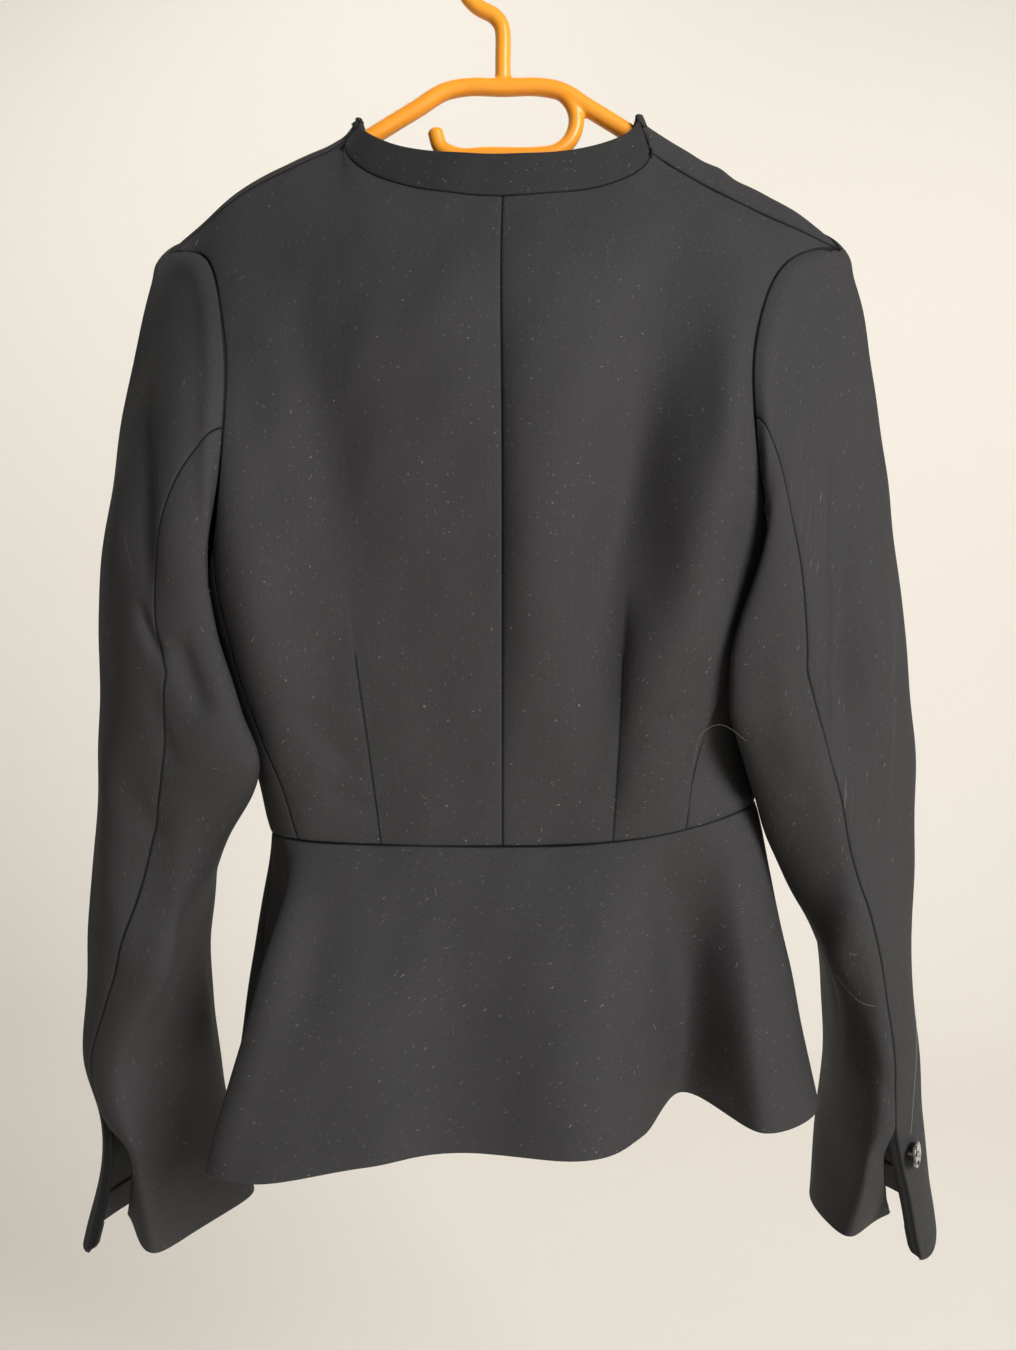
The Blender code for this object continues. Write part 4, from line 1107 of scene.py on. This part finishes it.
def plain(name, colour, roughness):
    """One colour with a faint grain."""
    look = Look(name)
    dark, light = ((*(share * c for c in colour), 1.0) for share in GRAIN)
    colour = look.mix(look.noise(look.place(), scale=900.0)[0], dark, light)
    return look.set(Base_Color=colour, Roughness=roughness)


WOOL = wool("black_wool_cloth", 1.0, STREAKS)
# The band's copy of the wool is darker: partly its cross grain, partly painted shade
BAND_WOOL_PAINTED_SHADE = wool("black_wool_across_painted_shade", BAND_GRAIN_AND_PAINTED_SHADE, BAND_STREAKS)
PLASTIC = plastic()


def make_bodice():
    rows = 2 * (SEAM_ROWS + ARMHOLE_STEPS)
    for side, name in SIDE_NAME.items():
        cloth(
            f"back_{name}", "back", lambda u, v: back_point(side, u, v),
            (2 * (NECK_STEPS + SHOULDER_STEPS), rows), side, ALL_EDGES,
            creases=BACK_CREASES, extra=lambda grid: back_push(grid, side), dart=side,
        )
        cloth(
            f"front_{name}", "front", lambda u, v: front_point(side, u, v),
            (2 * (BAND_STEPS + SHOULDER_STEPS), rows), -side, ("u1", "v0", "v1"),
            hems=("u0",), creases=FRONT_CREASES, extra=ripple_push,
        )
        cloth(
            f"side_{name}", "side", lambda u, v: side_point(side, u, v),
            (2 * UNDERARM_STEPS, 2 * SEAM_ROWS), side, ALL_EDGES,
        )
    cloth(
        "neck_band", "neck_band", band_point, (8 * NECK_STEPS, BAND_ROWS), 1, ("u0", "u1", "v0"),
        hems=("v1",), material=BAND_WOOL_PAINTED_SHADE, bare=("u0", "u1"),
    )


def make_peplum():
    left, right = PEPLUM_SIDE_SEAM[LEFT], PEPLUM_SIDE_SEAM[RIGHT]
    for node, kind, first, last, seams in (
        ("peplum_back", "peplum_back", left, right, ("u0", "u1", "v1")),
        ("peplum_front_left", "peplum_front", -2.0, left, ("u1", "v1")),
        ("peplum_front_right", "peplum_front", right, 2.0, ("u0", "v1")),
    ):
        cloth(
            node, kind, lambda u, v: peplum_point(first, last, u, v), (PEPLUM_COLUMNS[kind], PEPLUM_ROWS), 1,
            seams, hems=("v0",), creases=PEPLUM_CREASES,
        )


def make_sleeves():
    for side, name in SIDE_NAME.items():
        for piece in ("upper", "under"):
            cloth(
                f"{piece}_sleeve_{name}", f"{piece}_sleeve", lambda u, v: sleeve_point(side, piece, u, v),
                (2 * sleeve_columns(piece), 3 * SLEEVE_ROWS), side, ("u0", "u1", "v0"),
                hems=("v1",), creases=SLEEVE_CREASES[side], head="v0",
            )


# Cuff button: half its turned profile as radius and height, and its holes and thread
BUTTON_PROFILE = (
    (0.0000, -0.0011), (0.0058, -0.0013), (0.0070, -0.0008), (0.0075, 0.0002), (0.0072, 0.0010),
    (0.0065, 0.0013), (0.0058, 0.0011), (0.0050, 0.0004), (0.0040, 0.0001), (0.0000, 0.0002),
)
BUTTON_STEPS = 64
BUTTON_HOLE = 0.0021
# How far each button leans outwards, in degrees
BUTTON_DROOP = {LEFT: 0, RIGHT: 17}
THREAD = 0.00032
THREAD_RISE = 0.0004
SHANK_RADII = (0.0011, 0.0009)
SHANK_OVERLAP = 0.0016
SAME_SPOT = 0.000005


def turned(profile):
    """A smooth mesh turned from a profile of radius and height."""
    bm = bmesh.new()
    spots = [bm.verts.new((r, 0.0, h)) for r, h in profile]
    edges = [bm.edges.new(pair) for pair in zip(spots, spots[1:])]
    bmesh.ops.spin(
        bm, geom=spots + edges, cent=(0, 0, 0), axis=(0, 0, 1), angle=2 * math.pi, steps=BUTTON_STEPS,
        use_merge=True,
    )
    bmesh.ops.remove_doubles(bm, verts=bm.verts, dist=SAME_SPOT)
    bmesh.ops.recalc_face_normals(bm, faces=bm.faces)
    for face in bm.faces:
        face.smooth = True
    return bm


def make_buttons():
    horn = smoky_button()
    black = plain("black_sewing_thread", (0.012, 0.012, 0.013), roughness=0.7)
    for side, name in SIDE_NAME.items():
        top, bottom = sleeve_height(side, 0.0), sleeve_height(side, 1.0)
        down = (BUTTON_Z - top) / (bottom - top)
        v = (CAP_ROWS + down * (SLEEVE_ROWS - CAP_ROWS)) / SLEEVE_ROWS
        u = 1 - BUTTON_FROM_VENT[side] / (4 - SLEEVE_FRONT_SEAM + back_seam(side, BUTTON_Z))
        away = Vector(outward(lambda a, b: sleeve_point(side, "upper", a, b), u, v, side))
        centre = Vector(sleeve_point(side, "upper", u, v)) + away * (BUTTON_STANDOFF + BUTTON_THICKNESS / 2)
        away.rotate(Matrix.Rotation(math.radians(side * BUTTON_DROOP[side]), 3, "Z"))
        place = Matrix.Translation(centre) @ away.to_track_quat("Z", "Y").to_matrix().to_4x4()
        bm = turned(BUTTON_PROFILE)
        whole = len(bm.faces)
        stitch = Matrix.Diagonal((BUTTON_HOLE * 2, THREAD, THREAD, 1))
        for angle in (45, 135):
            turn = Matrix.Rotation(math.radians(angle), 4, "Z")
            bar = bmesh.ops.create_cube(bm, size=1.0, matrix=turn @ stitch)
            bmesh.ops.translate(bm, verts=bar["verts"], vec=(0, 0, THREAD_RISE))
        bmesh.ops.create_cone(
            bm, cap_ends=True, segments=12, radius1=SHANK_RADII[0], radius2=SHANK_RADII[1],
            depth=BUTTON_STANDOFF + SHANK_OVERLAP,
            matrix=Matrix.Translation((0, 0, -BUTTON_THICKNESS / 2 - BUTTON_STANDOFF / 2)),
        )
        bm.faces.ensure_lookup_table()
        for face in bm.faces[whole:]:
            face.material_index = 1
        bm.transform(place)
        obj = placed_mesh(f"cuff_button_{name}_turned", bm)
        dressed(obj, horn, "smoky_button", f"cuff_button_{name}")
        obj.data.materials.append(black)


# Arcs of the hanger: fewest points, and one more for each so many degrees
ARC_LEAST = 4
ARC_STEP = 15


def arc(x, z, radius, first, last):
    """Points of x and z on a circle, between two angles in degrees."""
    angles = np.radians(np.linspace(first, last, ARC_LEAST + int(abs(last - first) / ARC_STEP)))
    return [(x + radius * math.cos(a), z + radius * math.sin(a)) for a in angles]


# Rods of the hanger: step along the route, sides, and the rings of a domed end as shares of the radius
ROD_STEP = 0.0015
ROD_SIDES = 20
DOME = (0.05, 0.35, 0.65, 0.87, 0.97)
DOME_HEIGHT = 0.6
HANGER_VOXEL = 0.0009
HANGER_SMOOTHING = 12


def rod(bm, route, radius):
    """Adds a round rod with domed ends along a smooth route of x and z points."""
    route = np.array(route)
    lengths = run(route, 0)
    places = np.linspace(0, lengths[-1], int(lengths[-1] / ROD_STEP))
    points = np.array([smooth(lengths, route, s) for s in places])
    ways = unit(np.gradient(points, axis=0))
    domes = [(radius * DOME_HEIGHT * math.sqrt(1 - share**2), radius * share) for share in DOME]
    rings = [(points[0] - ways[0] * out, ways[0], r) for out, r in domes]
    rings += [(point, way, radius) for point, way in zip(points, ways)]
    rings += [(points[-1] + ways[-1] * out, ways[-1], r) for out, r in reversed(domes)]
    angles = [2 * math.pi * k / ROD_SIDES for k in range(ROD_SIDES)]
    corners = [(math.cos(a), math.sin(a)) for a in angles]
    loops = [
        [bm.verts.new((x - dz * r * across, r * deep, z + dx * r * across)) for across, deep in corners]
        for (x, z), (dx, dz), r in rings
    ]
    for first, second in zip(loops, loops[1:]):
        for k in range(ROD_SIDES):
            after = (k + 1) % ROD_SIDES
            bm.faces.new((first[k], first[after], second[after], second[k]))
    bm.faces.new(loops[0][::-1])
    bm.faces.new(loops[-1])


def make_hanger():
    """The moulded hanger, its limbs melted together where they meet."""
    bar_z = ARM_HALF[0][1]
    arms = [(-x, z) for x, z in reversed(ARM_HALF[1:])] + list(ARM_HALF)
    hook = [
        (0.0, bar_z), (0.0, (bar_z + NECK_BEND_Z) / 2),
        *arc(-NECK_BEND_RADIUS, NECK_BEND_Z, NECK_BEND_RADIUS, 0, HOOK_ARC[0] - 180),
        *arc(0.0, LIMB_RADIUS - HOOK_RADIUS, HOOK_RADIUS, *HOOK_ARC)[1:],
    ]
    loop = [*arc(LOOP_X, bar_z - LOOP_RADIUS, LOOP_RADIUS, 90, -90), *LOOP_END]
    bm = bmesh.new()
    for route, radius in ((arms, TUBE_RADIUS), (hook, LIMB_RADIUS), (loop, LIMB_RADIUS)):
        rod(bm, route, radius)
    bmesh.ops.recalc_face_normals(bm, faces=bm.faces)
    obj = placed_mesh("hanger_moulded", bm)
    melted = obj.modifiers.new("Melted", "REMESH")
    melted.mode = "VOXEL"
    melted.voxel_size = HANGER_VOXEL
    melted.use_smooth_shade = True
    soft = obj.modifiers.new("Soft", "SMOOTH")
    soft.factor = 0.5
    soft.iterations = HANGER_SMOOTHING
    dressed(obj, PLASTIC, "orange_plastic", "hanger")


# Lint: short fibres strewn on the cloth, and longer hairs at listed places
FIBRE_COUNT = 420
FIBRE_RADIUS = 0.00006
FIBRE_SEED = 11
FIBRE_POINTS = 5
# Shortest length and what is added to it, most bend in radians, lift off the cloth, and lift at each point
FIBRE_LENGTH = (0.0007, 0.0035)
FIBRE_BEND = 1.5
FIBRE_LIFT = 0.0003
FIBRE_RISE = (-0.00004, 0.00010)
LINT_MARGIN = 8
HAIR_RADIUS = FIBRE_RADIUS * 1.3
HAIR_POINTS = 16
LINT_SHARES = {
    "back_left": 7, "back_right": 7, "peplum_back": 9, "upper_sleeve_left": 12, "upper_sleeve_right": 12,
    "under_sleeve_left": 7, "under_sleeve_right": 7, "front_left": 5, "front_right": 5, "neck_band": 1,
}
HAIRS = (
    ((0.105, -0.064, -0.491), (0.108, -0.068, -0.475), (0.119, -0.071, -0.469), (0.133, -0.070, -0.478)),
    ((0.190, -0.030, -0.612), (0.194, -0.042, -0.619), (0.200, -0.050, -0.625), (0.209, -0.049, -0.628)),
    ((0.240, -0.024, -0.634), (0.240, -0.025, -0.660), (0.238, -0.026, -0.686), (0.236, -0.027, -0.708)),
)


def strand(bm, points, radius):
    """Adds a three-sided strand along points."""
    points = [Vector(p) for p in points]
    last = None
    for k, point in enumerate(points):
        way = (points[min(k + 1, len(points) - 1)] - points[max(k - 1, 0)]).normalized()
        side = way.orthogonal().normalized()
        other = way.cross(side)
        ring = []
        for corner in range(3):
            a = 2 * math.pi * corner / 3
            ring.append(bm.verts.new(point + (side * math.cos(a) + other * math.sin(a)) * radius))
        if last:
            for corner in range(3):
                after = (corner + 1) % 3
                bm.faces.new((last[corner], last[after], ring[after], ring[corner]))
        last = ring


def make_lint():
    chance = random.Random(FIBRE_SEED)
    bm = bmesh.new()
    for _ in range(FIBRE_COUNT):
        grid, normals = SURFACES[chance.choices(list(LINT_SHARES), list(LINT_SHARES.values()))[0]]
        row, column = (chance.randrange(LINT_MARGIN, count - LINT_MARGIN) for count in grid.shape[:2])
        normal = Vector(normals[row, column])
        way = normal.orthogonal().normalized()
        way.rotate(Matrix.Rotation(chance.uniform(0, 2 * math.pi), 3, normal))
        length = FIBRE_LENGTH[0] + FIBRE_LENGTH[1] * chance.random() ** 3
        bend = chance.uniform(-FIBRE_BEND, FIBRE_BEND)
        point = Vector(grid[row, column]) + normal * FIBRE_LIFT
        points = []
        for _ in range(FIBRE_POINTS):
            points.append(point)
            way.rotate(Matrix.Rotation(bend / (FIBRE_POINTS - 1), 3, normal))
            point = point + way * length / (FIBRE_POINTS - 1) + normal * chance.uniform(*FIBRE_RISE)
        strand(bm, points, FIBRE_RADIUS)
    for hair in HAIRS:
        knots = np.linspace(0, 1, len(hair))
        strand(bm, [smooth(knots, hair, t) for t in np.linspace(0, 1, HAIR_POINTS)], HAIR_RADIUS)
    obj = placed_mesh("lint_fibres", bm)
    dressed(obj, plain("pale_lint", (0.30, 0.29, 0.27), roughness=0.9), "black_wool")


# Camera of the photograph, and the studio
CAMERA = (0.003, -0.750, -0.442)
PICTURE_HEIGHT = 0.810
SENSOR = 36.0
WALL = (0.86, 0.82, 0.75)
FLOOR_Z = -1.20
SWEEP_FRONT = -3.0
SWEEP_BACK = 2.45
SWEEP_RADIUS = 1.0
SWEEP_ANGLES = np.radians(np.linspace(-80, 0, 12))
SWEEP_HALF_WIDTH = 3.2
SWEEP_TOP = 2.4
# Lamps: name, place, aim, size, power, colour
LIGHTS = (
    ("window", (2.00, -2.75, 0.80), (0.0, 0.0, -0.42), 1.6, 170.0, (1.0, 0.985, 0.97)),
    ("wall_left", (-1.5, 0.9, 0.9), (-0.6, 2.45, -0.5), 1.2, 9.0, (1.0, 0.99, 0.97)),
    ("wall_right", (1.6, 0.9, 0.9), (0.7, 2.45, -0.5), 1.2, 7.0, (1.0, 0.99, 0.97)),
    ("front", (-0.5, 1.4, 2.3), (0.0, 0.0, -0.42), 1.5, 24.0, (1.0, 0.99, 0.97)),
)
SKY = (1.0, 0.98, 0.95, 1.0)
SKY_STRENGTH = 0.07


def make_stage():
    """A pale floor that sweeps up into a wall far behind."""
    bend = SWEEP_BACK - SWEEP_RADIUS
    profile = [(SWEEP_FRONT, FLOOR_Z), (bend, FLOOR_Z)]
    for a in SWEEP_ANGLES:
        profile.append((bend + SWEEP_RADIUS * math.cos(a), FLOOR_Z + SWEEP_RADIUS * (1 + math.sin(a))))
    profile.append((SWEEP_BACK, SWEEP_TOP))
    points = [(x, y, z) for y, z in profile for x in (-SWEEP_HALF_WIDTH, SWEEP_HALF_WIDTH)]
    faces = [(2 * k, 2 * k + 1, 2 * k + 3, 2 * k + 2) for k in range(len(profile) - 1)]
    mesh = bpy.data.meshes.new("sweep")
    mesh.from_pydata(points, [], faces)
    mesh.shade_smooth()
    mesh.materials.append(plain("pale_paint", WALL, roughness=0.9))
    sweep = placed("sweep", mesh)


def make_light():
    world = bpy.data.worlds.new("soft_room")
    bpy.context.scene.world = world
    world.use_nodes = True
    sky = world.node_tree.nodes["Background"]
    sky.inputs["Color"].default_value = SKY
    sky.inputs["Strength"].default_value = SKY_STRENGTH
    bpy.context.scene.view_settings.view_transform = "Standard"
    for name, place, aim, size, power, colour in LIGHTS:
        lamp = bpy.data.lights.new(name, "AREA")
        lamp.shape = "SQUARE"
        lamp.size = size
        lamp.energy = power
        lamp.color = colour
        obj = placed(name, lamp)
        obj.location = place
        obj.rotation_euler = (Vector(aim) - Vector(place)).to_track_quat("-Z", "Y").to_euler()


def make_camera():
    lens = bpy.data.cameras.new("photo")
    lens.sensor_width = SENSOR
    lens.lens = SENSOR * -CAMERA[1] / PICTURE_HEIGHT
    camera = placed("photo", lens)
    camera.location = CAMERA
    camera.rotation_euler = (math.pi / 2, 0, 0)
    bpy.context.scene.camera = camera


make_camera()
make_bodice()
make_peplum()
make_sleeves()
make_buttons()
make_hanger()
make_lint()
make_stage()
make_light()
